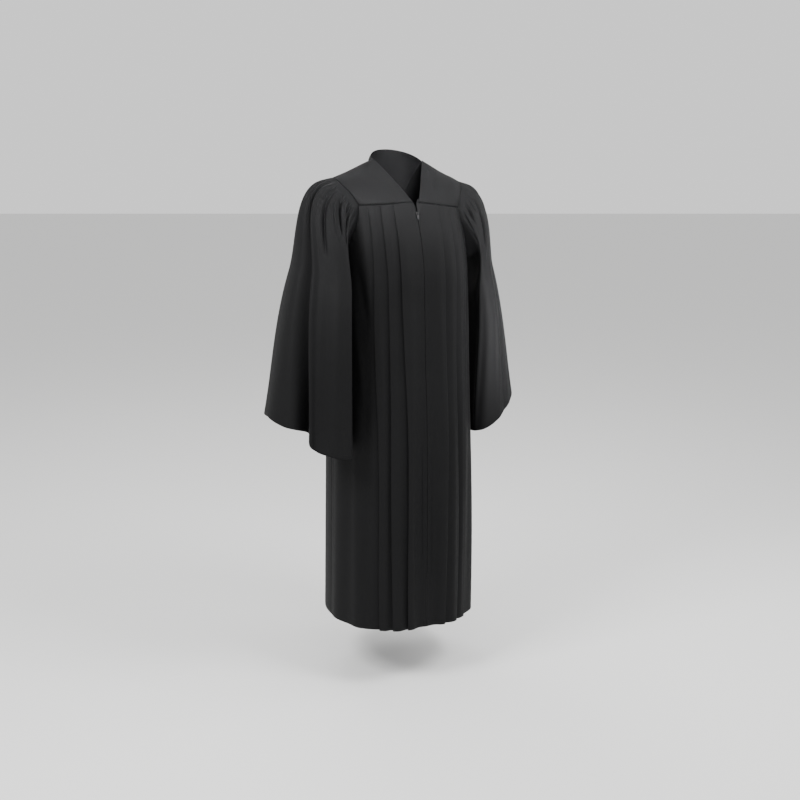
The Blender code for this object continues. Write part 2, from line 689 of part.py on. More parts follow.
def bridge_shape():
    """The slider's bridge: a half-round band over the front plate, with its feet sunk into the plate."""
    shape = bmesh.new()
    rims = []
    for x in (-BRIDGE_HALF_WIDTH, BRIDGE_HALF_WIDTH):
        outer, inner = [], []
        for k in range(BRIDGE_STEPS + 1):
            turn = np.pi * k / BRIDGE_STEPS
            sink = SINK if k in (0, BRIDGE_STEPS) else 0.0
            for ring, cut in ((outer, 0.0), (inner, BRIDGE_BAND)):
                u = (BRIDGE_HALF_SPAN - cut) * np.cos(turn)
                n = PLATE_TOP_N + (BRIDGE_RISE - cut) * np.sin(turn) - sink
                ring.append(shape.verts.new((x, u, n)))
        rims.append((outer, inner))
    (left_outer, left_inner), (right_outer, right_inner) = rims
    for k in range(BRIDGE_STEPS):
        shape.faces.new((left_outer[k], left_outer[k + 1], left_inner[k + 1], left_inner[k]))
        shape.faces.new((right_outer[k], right_inner[k], right_inner[k + 1], right_outer[k + 1]))
        shape.faces.new((left_outer[k], right_outer[k], right_outer[k + 1], left_outer[k + 1]))
        shape.faces.new((left_inner[k], left_inner[k + 1], right_inner[k + 1], right_inner[k]))
    for k in (0, BRIDGE_STEPS):
        shape.faces.new((left_outer[k], left_inner[k], right_inner[k], right_outer[k]))
    return shape


def join(thing, shape, name, frame, material):
    """Join another solid to an object by a union; the other one stays hidden as a guide."""
    other = object_from(shape, name, frame, material)
    other.hide_render = True
    other.display_type = "WIRE"
    union = thing.modifiers.new(name, "BOOLEAN")
    union.operation = "UNION"
    union.object = other


def zip_slider(frame, material):
    """The slider: front and back plates joined by a neck between the tapes, and the bridge for the pull."""
    plate = bmesh.new()
    add_box(plate, SLIDER_HALF_WIDTH, -SLIDER_HALF_LENGTH, SLIDER_HALF_LENGTH, PLATE_BOTTOM_N, PLATE_TOP_N)
    bmesh.ops.bevel(plate, geom=plate.edges, offset=PLATE_BEVEL, segments=1, affect="EDGES", material=-1)
    slider = object_from(plate, "zip_slider", frame, material)
    neck = bmesh.new()
    add_box(neck, NECK_HALF_WIDTH, NECK_LOW_U, SLIDER_HALF_LENGTH - SINK,
            BACK_PLATE_TOP_N - SINK, PLATE_BOTTOM_N + SINK)
    join(slider, neck, "slider_neck_guide", frame, material)
    back_plate = bmesh.new()
    add_box(back_plate, SLIDER_HALF_WIDTH, -SLIDER_HALF_LENGTH, SLIDER_HALF_LENGTH,
            BACK_PLATE_BOTTOM_N, BACK_PLATE_TOP_N)
    join(slider, back_plate, "slider_back_guide", frame, material)
    join(slider, bridge_shape(), "slider_bridge_guide", frame, material)


def zip_pull(frame, material):
    """The pull tab: a rounded plate with an eye round the bridge, its origin on the axis it swings about."""
    shape = bmesh.new()
    outer, inner = [], []
    eye_middle = -0.5 * (PULL_EYE_END + PULL_BAR_HALF)
    eye_half = 0.5 * (PULL_EYE_END - PULL_BAR_HALF)
    middle = 0.5 * (PULL_BAR_HALF - PULL_LENGTH)
    half = 0.5 * (PULL_BAR_HALF + PULL_LENGTH)
    for k in range(PULL_POINTS):
        turn = 2.0 * np.pi * k / PULL_POINTS
        across, up = np.sin(turn), np.cos(turn)
        eye_x = PULL_EYE_HALF_WIDTH * rounded(across, PULL_EYE_SQUARE)
        eye_u = eye_middle + eye_half * rounded(up, PULL_EYE_SQUARE)
        inner.append(shape.verts.new((eye_x, eye_u, 0.0)))
        width = PULL_HALF_WIDTH_TOP + (PULL_HALF_WIDTH_END - PULL_HALF_WIDTH_TOP) * (0.5 - 0.5 * up)
        edge_x = width * rounded(across, PULL_SIDE_SQUARE)
        edge_u = middle + half * rounded(up, PULL_END_SQUARE)
        outer.append(shape.verts.new((edge_x, edge_u, 0.0)))
    for k in range(PULL_POINTS):
        following = (k + 1) % PULL_POINTS
        shape.faces.new((outer[k], inner[k], inner[following], outer[following]))
    pivot = frame @ Matrix.Translation((0.0, PIVOT_U, PIVOT_N))
    pull = object_from(shape, "zip_pull", pivot, material)
    thicken = pull.modifiers.new("wall", "SOLIDIFY")
    thicken.thickness = 2.0 * PULL_BAR_HALF
    thicken.offset = 0.0
    return pivot.to_translation()


def cloth_material(name, colour, roughness, metallic=0.0):
    """A plain material with the piece's colour."""
    material = bpy.data.materials.new(name)
    material.use_nodes = True
    shader = material.node_tree.nodes["Principled BSDF"]
    shader.inputs["Base Color"].default_value = colour
    shader.inputs["Roughness"].default_value = roughness
    shader.inputs["Metallic"].default_value = metallic
    return material


def remove_everything():
    """Start from an empty scene."""
    for thing in list(bpy.data.objects):
        bpy.data.objects.remove(thing)


def main():
    """Build every piece of the gown."""
    remove_everything()
    cloth = cloth_material("gown_cloth", CLOTH_COLOUR, 0.75)
    for name, side in (("right", -1.0), ("left", 1.0)):
        yoke = [front_yoke_column(k / FRONT_YOKE_COLUMNS, side) for k in range(FRONT_YOKE_COLUMNS + 1)]
        cloth_object("front_yoke_" + name, yoke, False, cloth)
        cloth_object("front_" + name, front_points(side), False, cloth)
        cloth_object("sleeve_" + name, sleeve_points(name, side), True, cloth)
    cloth_object("back_yoke", [back_yoke_column(share) for share in back_yoke_shares()], False, cloth)
    cloth_object("back", back_points(), False, cloth)
    tape = cloth_material("zip_tape", ZIP_COLOUR, 0.8)
    metal = cloth_material("zip_metal", METAL_COLOUR, 0.35, 1.0)
    tape_bottom = ZIP_BOTTOM_Z - TAPE_BELOW_CHAIN
    for name, side in (("right", -1.0), ("left", 1.0)):
        zip_strip("zip_tape_" + name, side * TAPE_EDGE, side * (TAPE_EDGE + TAPE_WIDTH),
                  TAPE_TOP_Z, tape_bottom, TAPE_BEHIND, TAPE_WALL, tape)
    chain_top = SLIDER_Z - SLIDER_HALF_LENGTH
    zip_strip("zip_chain", -CHAIN_HALF, CHAIN_HALF, chain_top, ZIP_BOTTOM_Z, CHAIN_BEHIND, CHAIN_DEPTH, tape)
    frame = slider_frame()
    zip_slider(frame, metal)
    zip_pull(frame, metal)


main()
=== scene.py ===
# Graduation gown, shown as worn: two front yokes and a back yoke carry two pleated fronts with a zip, a
# gathered back and two bell sleeves. Metres, +Z up, the wearer faces -Y and the wearer's left is +X.
from collections import namedtuple

import bmesh
import bpy
import numpy as np
from mathutils import Matrix, Vector


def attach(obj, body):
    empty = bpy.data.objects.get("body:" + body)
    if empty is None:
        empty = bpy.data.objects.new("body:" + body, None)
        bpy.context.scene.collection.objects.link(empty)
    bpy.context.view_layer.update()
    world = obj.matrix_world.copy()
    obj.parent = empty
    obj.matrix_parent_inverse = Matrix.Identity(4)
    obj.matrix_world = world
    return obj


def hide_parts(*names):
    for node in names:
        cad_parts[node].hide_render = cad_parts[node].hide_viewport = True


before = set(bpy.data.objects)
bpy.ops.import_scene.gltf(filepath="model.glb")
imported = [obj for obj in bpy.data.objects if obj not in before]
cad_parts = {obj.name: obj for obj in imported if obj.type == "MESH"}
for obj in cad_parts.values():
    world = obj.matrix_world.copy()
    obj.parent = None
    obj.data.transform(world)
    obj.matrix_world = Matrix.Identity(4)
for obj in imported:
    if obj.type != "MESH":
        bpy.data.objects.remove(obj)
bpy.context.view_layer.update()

# Studio: a pale floor under a pale sky, lit softly from the front, from above and from both sides. The camera
# stands where the photograph was taken from, a little above the chest.
SCENE = bpy.context.scene
CAMERA_AZIMUTH = np.radians(-26.0)
CAMERA_PITCH = np.radians(13.3)
CAMERA_DISTANCE = 3.2
CAMERA_HEIGHT = 0.07
PICTURE_WIDTH = 800
FOCAL_PIXELS = 1122
PICTURE_SHIFT = 2.4
SENSOR_WIDTH = 36.0

lens = bpy.data.cameras.new("camera")
lens.sensor_width = SENSOR_WIDTH
lens.lens = FOCAL_PIXELS / PICTURE_WIDTH * SENSOR_WIDTH
lens.shift_x = PICTURE_SHIFT / PICTURE_WIDTH
lens.clip_end = 60.0
camera = bpy.data.objects.new("camera", lens)
camera.location = (np.sin(CAMERA_AZIMUTH) * CAMERA_DISTANCE, -np.cos(CAMERA_AZIMUTH) * CAMERA_DISTANCE,
                   CAMERA_HEIGHT)
looking = Vector((-np.sin(CAMERA_AZIMUTH) * np.cos(CAMERA_PITCH),
                  np.cos(CAMERA_AZIMUTH) * np.cos(CAMERA_PITCH),
                  -np.sin(CAMERA_PITCH)))
camera.rotation_euler = looking.to_track_quat("-Z", "Y").to_euler()
SCENE.collection.objects.link(camera)
SCENE.camera = camera

FLOOR_Z = -1.50
FLOOR_SIZE = 40.0
FLOOR_COLOUR = (0.70, 0.70, 0.695, 1.0)
FLOOR_ROUGHNESS = 0.9
floor_shape = bmesh.new()
floor_place = Matrix.Translation((0.0, 0.0, FLOOR_Z)) @ Matrix.Rotation(CAMERA_AZIMUTH, 4, "Z")
bmesh.ops.create_grid(floor_shape, x_segments=1, y_segments=1, size=0.5 * FLOOR_SIZE, matrix=floor_place)
floor_mesh = bpy.data.meshes.new("floor")
floor_shape.to_mesh(floor_mesh)
floor_shape.free()
floor = bpy.data.objects.new("floor", floor_mesh)
SCENE.collection.objects.link(floor)
floor_paint = bpy.data.materials.new("floor_paint")
floor_paint.use_nodes = True
floor_paint.node_tree.nodes["Principled BSDF"].inputs["Base Color"].default_value = FLOOR_COLOUR
floor_paint.node_tree.nodes["Principled BSDF"].inputs["Roughness"].default_value = FLOOR_ROUGHNESS
floor_mesh.materials.append(floor_paint)

WORLD_COLOUR = (1.0, 1.0, 1.0, 1.0)
WORLD_STRENGTH = 1.05
world = bpy.data.worlds.new("studio")
SCENE.world = world
world.use_nodes = True
world.node_tree.nodes["Background"].inputs["Color"].default_value = WORLD_COLOUR
world.node_tree.nodes["Background"].inputs["Strength"].default_value = WORLD_STRENGTH

# Each light by its place round the gown, its height, distance, size and power, how wide its beam spreads and
# the point that it is aimed at
Light = namedtuple("Light", "name azimuth height distance size power spread aim")
CHEST = (0.0, 0.0, -0.4)
NECK = (0.0, 0.0, 0.09)
LEFT_SLEEVE = (0.51, 0.0, -0.36)
LIGHTS = (
    Light("key", 34.0, 1.65, 1.9, 1.0, 84.0, 180.0, CHEST),
    Light("fill", -22.0, 0.0, 2.4, 1.2, 10.0, 180.0, CHEST),
    Light("neck", -18.0, 0.22, 1.3, 0.4, 2.7, 18.0, NECK),
    Light("sleeve", 24.0, -0.7, 1.7, 0.5, 6.8, 20.0, LEFT_SLEEVE),
    Light("right", 70.0, 0.3, 1.9, 0.9, 18.0, 180.0, CHEST),
    Light("left", -72.0, 0.9, 1.9, 0.9, 76.0, 180.0, CHEST),
    Light("back", 180.0, 2.2, 2.2, 1.6, 40.0, 180.0, CHEST),
)
for light in LIGHTS:
    lamp = bpy.data.lights.new(light.name, "AREA")
    lamp.size = light.size
    lamp.energy = light.power
    lamp.spread = np.radians(light.spread)
    lamp_object = bpy.data.objects.new(light.name, lamp)
    turn = np.radians(light.azimuth)
    place = Vector((np.sin(turn) * light.distance, -np.cos(turn) * light.distance, light.height))
    lamp_object.location = place
    lamp_object.visible_camera = False
    lamp_object.rotation_euler = (Vector(light.aim) - place).to_track_quat("-Z", "Y").to_euler()
    SCENE.collection.objects.link(lamp_object)


# Gown cloth: a black plain-weave polyester, dull, woven about 3 threads to the millimetre. It is cut into eight
# panels. The same cloth is on both faces.
CLOTH_BLACK = (0.0044, 0.0044, 0.0047, 1.0)
CLOTH_WORN = (0.0066, 0.0066, 0.0070, 1.0)
CLOTH_ROUGHNESS = 0.60
CLOTH_WALL = 0.0007
THREADS_PER_METRE = 1500.0
THREAD_DEPTH = 0.00008
RUMPLE_SCALE = 26.0
RUMPLE_DEPTH = 0.0009


class Value:
    """A socket's number in shader maths, so that nodes are written as sums."""

    def __init__(self, tree, socket):
        self.tree = tree
        self.socket = socket

    def maths(self, operation, first, second=None):
        node = self.tree.nodes.new("ShaderNodeMath")
        node.operation = operation
        for place, value in enumerate((first, second)):
            if isinstance(value, Value):
                self.tree.links.new(value.socket, node.inputs[place])
            elif value is not None:
                node.inputs[place].default_value = value
        return Value(self.tree, node.outputs[0])

    def __add__(self, other):
        return self.maths("ADD", self, other)

    __radd__ = __add__

    def __sub__(self, other):
        return self.maths("SUBTRACT", self, other)

    def __rsub__(self, other):
        return self.maths("SUBTRACT", other, self)

    def __mul__(self, other):
        return self.maths("MULTIPLY", self, other)

    __rmul__ = __mul__

    def sine(self):
        return self.maths("SINE", self)


class Shading:
    """A material's nodes."""

    def __init__(self, name):
        self.material = bpy.data.materials.new(name)
        self.material.use_nodes = True
        self.tree = self.material.node_tree
        self.surface = self.tree.nodes["Principled BSDF"]

    def node(self, kind, settings=None, sockets=None, out=0):
        """Add a node: its settings first, then the values or links of its sockets."""
        node = self.tree.nodes.new(kind)
        for name, value in (settings or {}).items():
            setattr(node, name, value)
        for name, value in (sockets or {}).items():
            if isinstance(value, Value):
                self.tree.links.new(value.socket, node.inputs[name])
            else:
                node.inputs[name].default_value = value
        return Value(self.tree, node.outputs[out])

    def fixed(self, **values):
        """Set numbers that are the same all over on the shader's own sockets."""
        for name, value in values.items():
            self.surface.inputs[name.replace("_", " ")].default_value = value

    def feed(self, name, value):
        """Link a value that changes over the surface to one of the shader's sockets."""
        self.tree.links.new(value.socket, self.surface.inputs[name])


def woven_cloth(name, black, worn, roughness, threads, thread_depth, rumple_depth):
    """Plain weave on the piece's own UV map, which runs along the cloth in metres."""
    cloth = Shading(name)
    place = cloth.node("ShaderNodeUVMap", {"uv_map": "cloth"})
    split = cloth.node("ShaderNodeSeparateXYZ", None, {"Vector": place})
    across = split
    along = Value(cloth.tree, split.socket.node.outputs[1])
    turn = 2.0 * np.pi * threads
    warp = (across * turn).sine()
    weft = (along * turn).sine()
    weave = warp * weft * (0.5 * thread_depth)
    body = cloth.node("ShaderNodeTexCoord", out=3)
    rumple = cloth.node("ShaderNodeTexNoise", {"noise_dimensions": "3D"},
                        {"Vector": body, "Scale": RUMPLE_SCALE, "Detail": 3.0, "Roughness": 0.45})
    slub = cloth.node("ShaderNodeTexNoise", {"noise_dimensions": "2D"},
                      {"Vector": place, "Scale": 190.0, "Detail": 2.0, "Roughness": 0.6})
    wear = cloth.node("ShaderNodeTexNoise", {"noise_dimensions": "3D"},
                      {"Vector": body, "Scale": 7.0, "Detail": 4.0, "Roughness": 0.55})
    shade = wear * 0.7 + slub * 0.3
    colour = cloth.node("ShaderNodeMix", {"data_type": "RGBA"}, {0: shade, 6: black, 7: worn}, out=2)
    cloth.feed("Base Color", colour)
    cloth.feed("Roughness", roughness - 0.05 + slub * 0.06 + wear * 0.05)
    height = weave + rumple * rumple_depth + slub * 0.00012
    bump = cloth.node("ShaderNodeBump", None, {"Height": height, "Strength": 1.0, "Distance": 1.0})
    cloth.feed("Normal", bump)
    cloth.fixed(Sheen_Weight=0.0, Sheen_Roughness=0.45, Specular_IOR_Level=0.08)
    cloth.surface.inputs["Sheen Tint"].default_value = (0.9, 0.92, 1.0, 1.0)
    return cloth.material


gown_cloth = woven_cloth("gown_cloth", CLOTH_BLACK, CLOTH_WORN, CLOTH_ROUGHNESS, THREADS_PER_METRE,
                         THREAD_DEPTH, RUMPLE_DEPTH)


# Shape of the gown as worn: an outline round the body at each height, from the yokes to the hem, on which
# every panel hangs. The shoulders slope a little to one side.
HEM_Z = -1.323
YOKE_CORNER_Z = -0.122
ROUNDNESS = 2.35
SHOULDER_TILT = 0.045
TILT_TOP_Z = -0.13
TILT_END_Z = -0.36
TILT_LEFT_BELOW = 0.6
Section = namedtuple("Section", "z half_width front back")
BODY = (
    Section(-0.10, 0.183, 0.106, 0.104),
    Section(-0.14, 0.187, 0.121, 0.112),
    Section(-0.19, 0.192, 0.141, 0.126),
    Section(-0.28, 0.198, 0.163, 0.145),
    Section(-0.40, 0.201, 0.170, 0.156),
    Section(-0.55, 0.204, 0.177, 0.165),
    Section(-0.70, 0.2075, 0.187, 0.174),
    Section(-0.94, 0.212, 0.193, 0.182),
    Section(HEM_Z, 0.219, 0.191, 0.190),
)


def smooth_curve(knots, values, at):
    """Read a smooth curve through the table's values."""
    knots = np.asarray(knots, float)
    values = np.asarray(values, float)
    if knots[0] > knots[-1]:
        knots = knots[::-1]
        values = values[::-1]
    slopes = np.gradient(values, knots)
    at = np.clip(at, knots[0], knots[-1])
    k = np.clip(np.searchsorted(knots, at) - 1, 0, len(knots) - 2)
    width = knots[k + 1] - knots[k]
    t = (at - knots[k]) / width
    start = (1 + 2 * t) * (1 - t) ** 2 * values[k] + t * (1 - t) ** 2 * width * slopes[k]
    return start + t * t * (3 - 2 * t) * values[k + 1] - t * t * (1 - t) * width * slopes[k + 1]


def column(table, name):
    """One named column of a table."""
    return [getattr(row, name) for row in table]


class Outline:
    """Half of the body's outline at one height, from the centre front round the side to the centre back."""

    def __init__(self, z):
        heights = column(BODY, "z")
        half_width, front, back = (smooth_curve(heights, column(BODY, name), z)
                                   for name in ("half_width", "front", "back"))
        turn = np.linspace(0.0, np.pi, 721)
        power = 2.0 / ROUNDNESS
        self.x = half_width * np.abs(np.sin(turn)) ** power
        depth = np.where(turn < np.pi / 2, front, back)
        self.y = -depth * np.sign(np.cos(turn)) * np.abs(np.cos(turn)) ** power
        self.x[0] = 0.0
        self.x[-1] = 0.0
        steps = np.hypot(np.diff(self.x), np.diff(self.y))
        self.length = np.concatenate(([0.0], np.cumsum(steps)))
        self.half = len(turn) // 2
        self.side = self.length[self.half]

    def at_x(self, x):
        """Length from the centre front to where the front is x from the middle."""
        return np.interp(x, self.x[:self.half + 1], self.length[:self.half + 1])

    def at_y(self, y):
        """Length from the centre front to where the outline is y behind the origin."""
        return np.interp(y, self.y, self.length)

    def points(self, length, out, z, side):
        """Points at lengths along the outline, moved out from it."""
        length, out, z, side = np.broadcast_arrays(np.asarray(length, float), out, z, side)
        x = np.interp(length, self.length, self.x)
        y = np.interp(length, self.length, self.y)
        ahead = np.minimum(length + 0.004, self.length[-1])
        behind = np.maximum(length - 0.004, 0.0)
        dx = np.interp(ahead, self.length, self.x) - np.interp(behind, self.length, self.x)
        dy = np.interp(ahead, self.length, self.y) - np.interp(behind, self.length, self.y)
        size = np.hypot(dx, dy)
        return np.stack((side * (x + out * dy / size), y - out * dx / size, z), axis=-1)


def tilted(points):
    """Every point follows the slope of the shoulders, most near the top."""
    fade = np.clip((points[..., 2] - TILT_END_Z) / (TILT_TOP_Z - TILT_END_Z), 0.0, 1.0)
    share = TILT_LEFT_BELOW + (1.0 - TILT_LEFT_BELOW) * fade * fade * (3.0 - 2.0 * fade)
    moved = points.copy()
    moved[..., 2] -= SHOULDER_TILT * points[..., 0] * share
    return moved


Crease = namedtuple("Crease", "top_across top_z low_across low_z depth width")


def crease_depth(across, height, creases):
    """How far a panel's creases stand out; a crease runs between two places and fades at its ends."""
    total = np.zeros(np.broadcast(across, height).shape)
    for crease in creases:
        run_across = crease.low_across - crease.top_across
        run_down = crease.low_z - crease.top_z
        size = np.hypot(run_across, run_down)
        far_across = across - crease.top_across
        far_down = height - crease.top_z
        along = (far_across * run_across + far_down * run_down) / size ** 2
        aside = (far_across * run_down - far_down * run_across) / size
        ends = np.clip(1.0 - (2.0 * along - 1.0) ** 2, 0.0, 1.0)
        total += crease.depth * ends * np.exp(-(aside / crease.width) ** 2)
    return total


def cloth_piece(name, grid, closed=False, wall=CLOTH_WALL, material=None):
    """A panel of cloth through a grid of points, rows down it, with a UV map in metres along the cloth."""
    grid = tilted(np.asarray(grid))
    rows, columns = grid.shape[:2]
    down = np.linalg.norm(np.diff(grid, axis=0), axis=-1).mean(axis=1)
    over = np.linalg.norm(np.diff(grid, axis=1), axis=-1)[rows // 3:].mean(axis=0)
    v = np.concatenate(([0.0], np.cumsum(down)))
    u = np.concatenate(([0.0], np.cumsum(over)))
    panel = bmesh.new()
    bmesh.ops.create_grid(panel, x_segments=columns - 1, y_segments=rows - 1, size=1.0)
    panel.verts.ensure_lookup_table()
    order = sorted(panel.verts, key=lambda vert: (round(vert.co.y, 6), round(vert.co.x, 6)))
    place = {}
    for number, vert in enumerate(order):
        vert.co = grid[number // columns, number % columns]
        place[vert] = (u[number % columns], v[number // columns])
    layer = panel.loops.layers.uv.new("cloth")
    for face in panel.faces:
        face.smooth = True
        for corner in face.loops:
            corner[layer].uv = place[corner.vert]
    if closed:
        bmesh.ops.remove_doubles(panel, verts=panel.verts, dist=1e-7)
    mesh = bpy.data.meshes.new(name)
    panel.to_mesh(mesh)
    panel.free()
    piece = bpy.data.objects.new(name, mesh)
    SCENE.collection.objects.link(piece)
    mesh.materials.append(material or gown_cloth)
    thicken = piece.modifiers.new("wall", "SOLIDIFY")
    thicken.thickness = wall
    thicken.offset = 0.0
    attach(piece, "gown")
    return piece


def out_of_cloth(grid, middle_x):
    """The direction out of the cloth at every point of a grid that hangs round a vertical line."""
    down = np.gradient(grid, axis=0)
    over = np.gradient(grid, axis=1)
    out = np.cross(down, over)
    out /= np.linalg.norm(out, axis=-1, keepdims=True) + 1e-12
    from_middle = grid - np.array((middle_x, 0.0, 0.0))
    level = (out[..., 0] * from_middle[..., 0] + out[..., 1] * from_middle[..., 1]).sum()
    return out if level > 0.0 else -out


HEM_FOLD_BEHIND = 0.0006
HEM_BEHIND = 0.0013
HEM_FOLD_BELOW = 0.02


def turned_hem(grid, out, rows):
    """The same grid with its hem turned up inside over a number of rows."""
    under = [grid[-1] - out[-1] * HEM_FOLD_BEHIND + (grid[-1] - grid[-2]) * HEM_FOLD_BELOW]
    under += [grid[-k] - out[-k] * HEM_BEHIND for k in range(1, rows + 1)]
    return np.concatenate((grid, np.array(under)))


# Sewing thread, black and a little glossier than the cloth: one small bead of thread for each stitch
STITCH_PITCH = 0.0032
STITCH_LENGTH = 0.0023
STITCH_HALF_WIDTH = 0.00024
STITCH_LIFT = 0.00045
seams = []


def sew(line, out, offset=STITCH_LIFT):
    """Remember a seam line to be sewn: its points, and the directions out of the cloth along it."""
    seams.append((tilted(np.asarray(line)), np.asarray(out), offset))


def cut_area(grid):
    """The area of a panel, from the size of its grid's cells."""
    grid = np.asarray(grid)
    first = np.cross(grid[1:, :-1] - grid[:-1, :-1], grid[:-1, 1:] - grid[:-1, :-1])
    second = np.cross(grid[1:, :-1] - grid[1:, 1:], grid[:-1, 1:] - grid[1:, 1:])
    return 0.5 * float(np.linalg.norm(first, axis=-1).sum() + np.linalg.norm(second, axis=-1).sum())


# Front yokes: two smooth panels from the shoulder seams to the pleated fronts, cut straight below and curved at
# the neck. Their lower edge is turned in along the seam, and the pleats are caught in under it.
SIDE_NECK = (0.076, 0.0, 0.003)
SHOULDER_END = (0.196, 0.0, -0.052)
SHOULDER_DIP = 0.002
NECK_CORNER_X = 0.010
NECK_CORNER_Z = -0.107
NECK_POINT_Z = -0.122
YOKE_CORNER_X = 0.152
SEAM_GAP = 0.0006
YOKE_LIFT = 0.0022
UNDERARM_Z = -0.285
FRONT_TOP_AT_NECK = (-0.021, -0.036, -0.030)
FRONT_TOP_AT_ARMHOLE = (-0.007, -0.032, -0.010)
FRONT_TOP_BETWEEN = (0.0, -0.012, 0.004)
FRONT_SEAM_AT_NECK = (0.022, 0.033, 0.040)
FRONT_SEAM_AT_ARMHOLE = (0.012, 0.010, 0.030)
FRONT_SEAM_BETWEEN = (0.0, -0.006, 0.004)
YOKE_LINES = 60
YOKE_STEPS = 44
SEAM_TURN_IN = 0.0022
Armhole = namedtuple("Armhole", "z front_y back_y")
ARMHOLE = (
    Armhole(YOKE_CORNER_Z, -0.074, 0.078),
    Armhole(-0.145, -0.079, 0.082),
    Armhole(-0.175, -0.081, 0.083),
    Armhole(-0.205, -0.076, 0.078),
    Armhole(-0.235, -0.064, 0.066),
    Armhole(-0.262, -0.042, 0.043),
    Armhole(UNDERARM_Z, 0.0, 0.0),
)


def seam_height(x):
    """Height of the front yoke's lower seam, or of the neck's edge between the seam and the neck's point."""
    point = NECK_POINT_Z + (NECK_CORNER_Z - NECK_POINT_Z) * x / NECK_CORNER_X
    along = (x - NECK_CORNER_X) / (YOKE_CORNER_X - NECK_CORNER_X)
    return np.where(x < NECK_CORNER_X, point, NECK_CORNER_Z + (YOKE_CORNER_Z - NECK_CORNER_Z) * along)


def side_edge_length(outline, z, name):
    """Length along the outline to the armhole's edge, or to the side seam below it."""
    if z <= UNDERARM_Z:
        return outline.side
    return float(outline.at_y(smooth_curve(column(ARMHOLE, "z"), column(ARMHOLE, name), z)))


def mix(first, second, t):
    """Part of the way between two points."""
    return np.asarray(first, float) * (1.0 - t) + np.asarray(second, float) * t


def bezier(start, first, second, end, count):
    """Points along a cubic curve."""
    t = np.linspace(0.0, 1.0, count)[:, None]
    s = 1.0 - t
    return s ** 3 * start + 3 * s * s * t * first + 3 * s * t * t * second + t ** 3 * end


def turned_edge(line, away, depth=SEAM_TURN_IN):
    """A line of a panel whose end is turned in along the seam: away is the direction out of the cloth."""
    line = line.copy()
    line[-2] = line[-2] + (line[-1] - line[-2]) * 0.6 - away * depth * 0.12
    line[-1] = line[-1] - away * depth * 0.45
    end = line[-1] - away * depth * 0.55 - (line[-1] - line[-3]) * 0.15
    return np.vstack((line, end))


def shoulder_point(along):
    """A point of the shoulder seam, from the neck to the armhole."""
    return mix(SIDE_NECK, SHOULDER_END, along) - np.array((0.0, 0.0, SHOULDER_DIP * np.sin(np.pi * along)))


def front_yoke_line(along):
    """One line down the front yoke on the wearer's left, from the shoulder seam to the lower seam."""
    top = shoulder_point(along)
    corner = Outline(YOKE_CORNER_Z)
    edge_x = np.interp(side_edge_length(corner, YOKE_CORNER_Z, "front_y"), corner.length, corner.x)
    x = NECK_CORNER_X + (edge_x - NECK_CORNER_X) * along
    z = float(seam_height(x))
    outline = Outline(z)
    bottom = outline.points(outline.at_x(x), YOKE_LIFT * (1.0 - along ** 6), z + 0.5 * SEAM_GAP, 1.0)
    between = 4.0 * along * (1.0 - along)
    first = top + mix(FRONT_TOP_AT_NECK, FRONT_TOP_AT_ARMHOLE, along) + np.array(FRONT_TOP_BETWEEN) * between
    second = bottom + mix(FRONT_SEAM_AT_NECK, FRONT_SEAM_AT_ARMHOLE, along)
    second = second + np.array(FRONT_SEAM_BETWEEN) * between
    return bezier(top + (0.0, -0.5 * SEAM_GAP, 0.0), first, second, bottom, YOKE_STEPS)


def away_from_cloth(grid):
    """The direction out of the cloth at every point of a grid of the wearer's left, whose lines run down."""
    along = np.gradient(grid, axis=1)
    across = np.gradient(grid, axis=0)
    normal = np.cross(along, across)
    return normal / np.linalg.norm(normal, axis=-1, keepdims=True)


YOKE_CREASES = {
    "right": (
        Crease(0.30, -0.010, 0.72, -0.100, 0.0010, 0.060),
        Crease(0.62, -0.030, 0.92, -0.110, -0.0012, 0.050),
        Crease(0.10, -0.030, 0.30, -0.105, 0.0008, 0.045),
    ),
    "left": (
        Crease(0.36, -0.012, 0.66, -0.100, -0.0010, 0.060),
        Crease(0.66, -0.030, 0.95, -0.105, 0.0012, 0.050),
        Crease(0.12, -0.030, 0.26, -0.105, 0.0007, 0.045),
    ),
}
MIRROR = {"right": np.array((-1.0, 1.0, 1.0)), "left": np.array((1.0, 1.0, 1.0))}
shares = np.linspace(0.0, 1.0, YOKE_LINES)
yoke_base = np.array([front_yoke_line(share) for share in shares])
yoke_away = away_from_cloth(yoke_base)
if yoke_away[YOKE_LINES // 2, YOKE_STEPS // 2, 1] > 0.0:
    yoke_away = -yoke_away
for side in ("right", "left"):
    relief = crease_depth(shares[:, None], yoke_base[..., 2], YOKE_CREASES[side])
    grid = yoke_base + yoke_away * relief[..., None]
    grid = np.array([turned_edge(line, away[-1]) for line, away in zip(grid, yoke_away)])
    grid = np.transpose(grid, (1, 0, 2)) * MIRROR[side]
    panel = cloth_piece("front_yoke_panel_" + side, grid)
    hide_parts("front_yoke_" + side)
    cut_area(grid)

# Back yoke: one smooth panel over the back of the neck and both shoulder blades. Its inside shows in the
# neck, and its lower edge is sewn over the gathered back.
NAPE = (0.0, 0.066, 0.030)
BACK_YOKE_Z = -0.130
NECK_SHARE = 0.42
BACK_YOKE_LIFT = 0.0005
BACK_TOP_AT_NAPE = (0.0, 0.012, -0.038)
BACK_TOP_AT_NECK = (0.006, 0.032, -0.016)
BACK_TOP_AT_ARMHOLE = (-0.006, 0.032, -0.010)
BACK_SEAM_AT_MIDDLE = (0.0, -0.001, 0.062)
BACK_SEAM_AT_ARMHOLE = (0.012, -0.008, 0.030)


def back_seam_height(along):
    """Height of the back yoke's lower seam, by the part of the way from the middle to its corner."""
    return BACK_YOKE_Z + (YOKE_CORNER_Z - BACK_YOKE_Z) * along ** 2


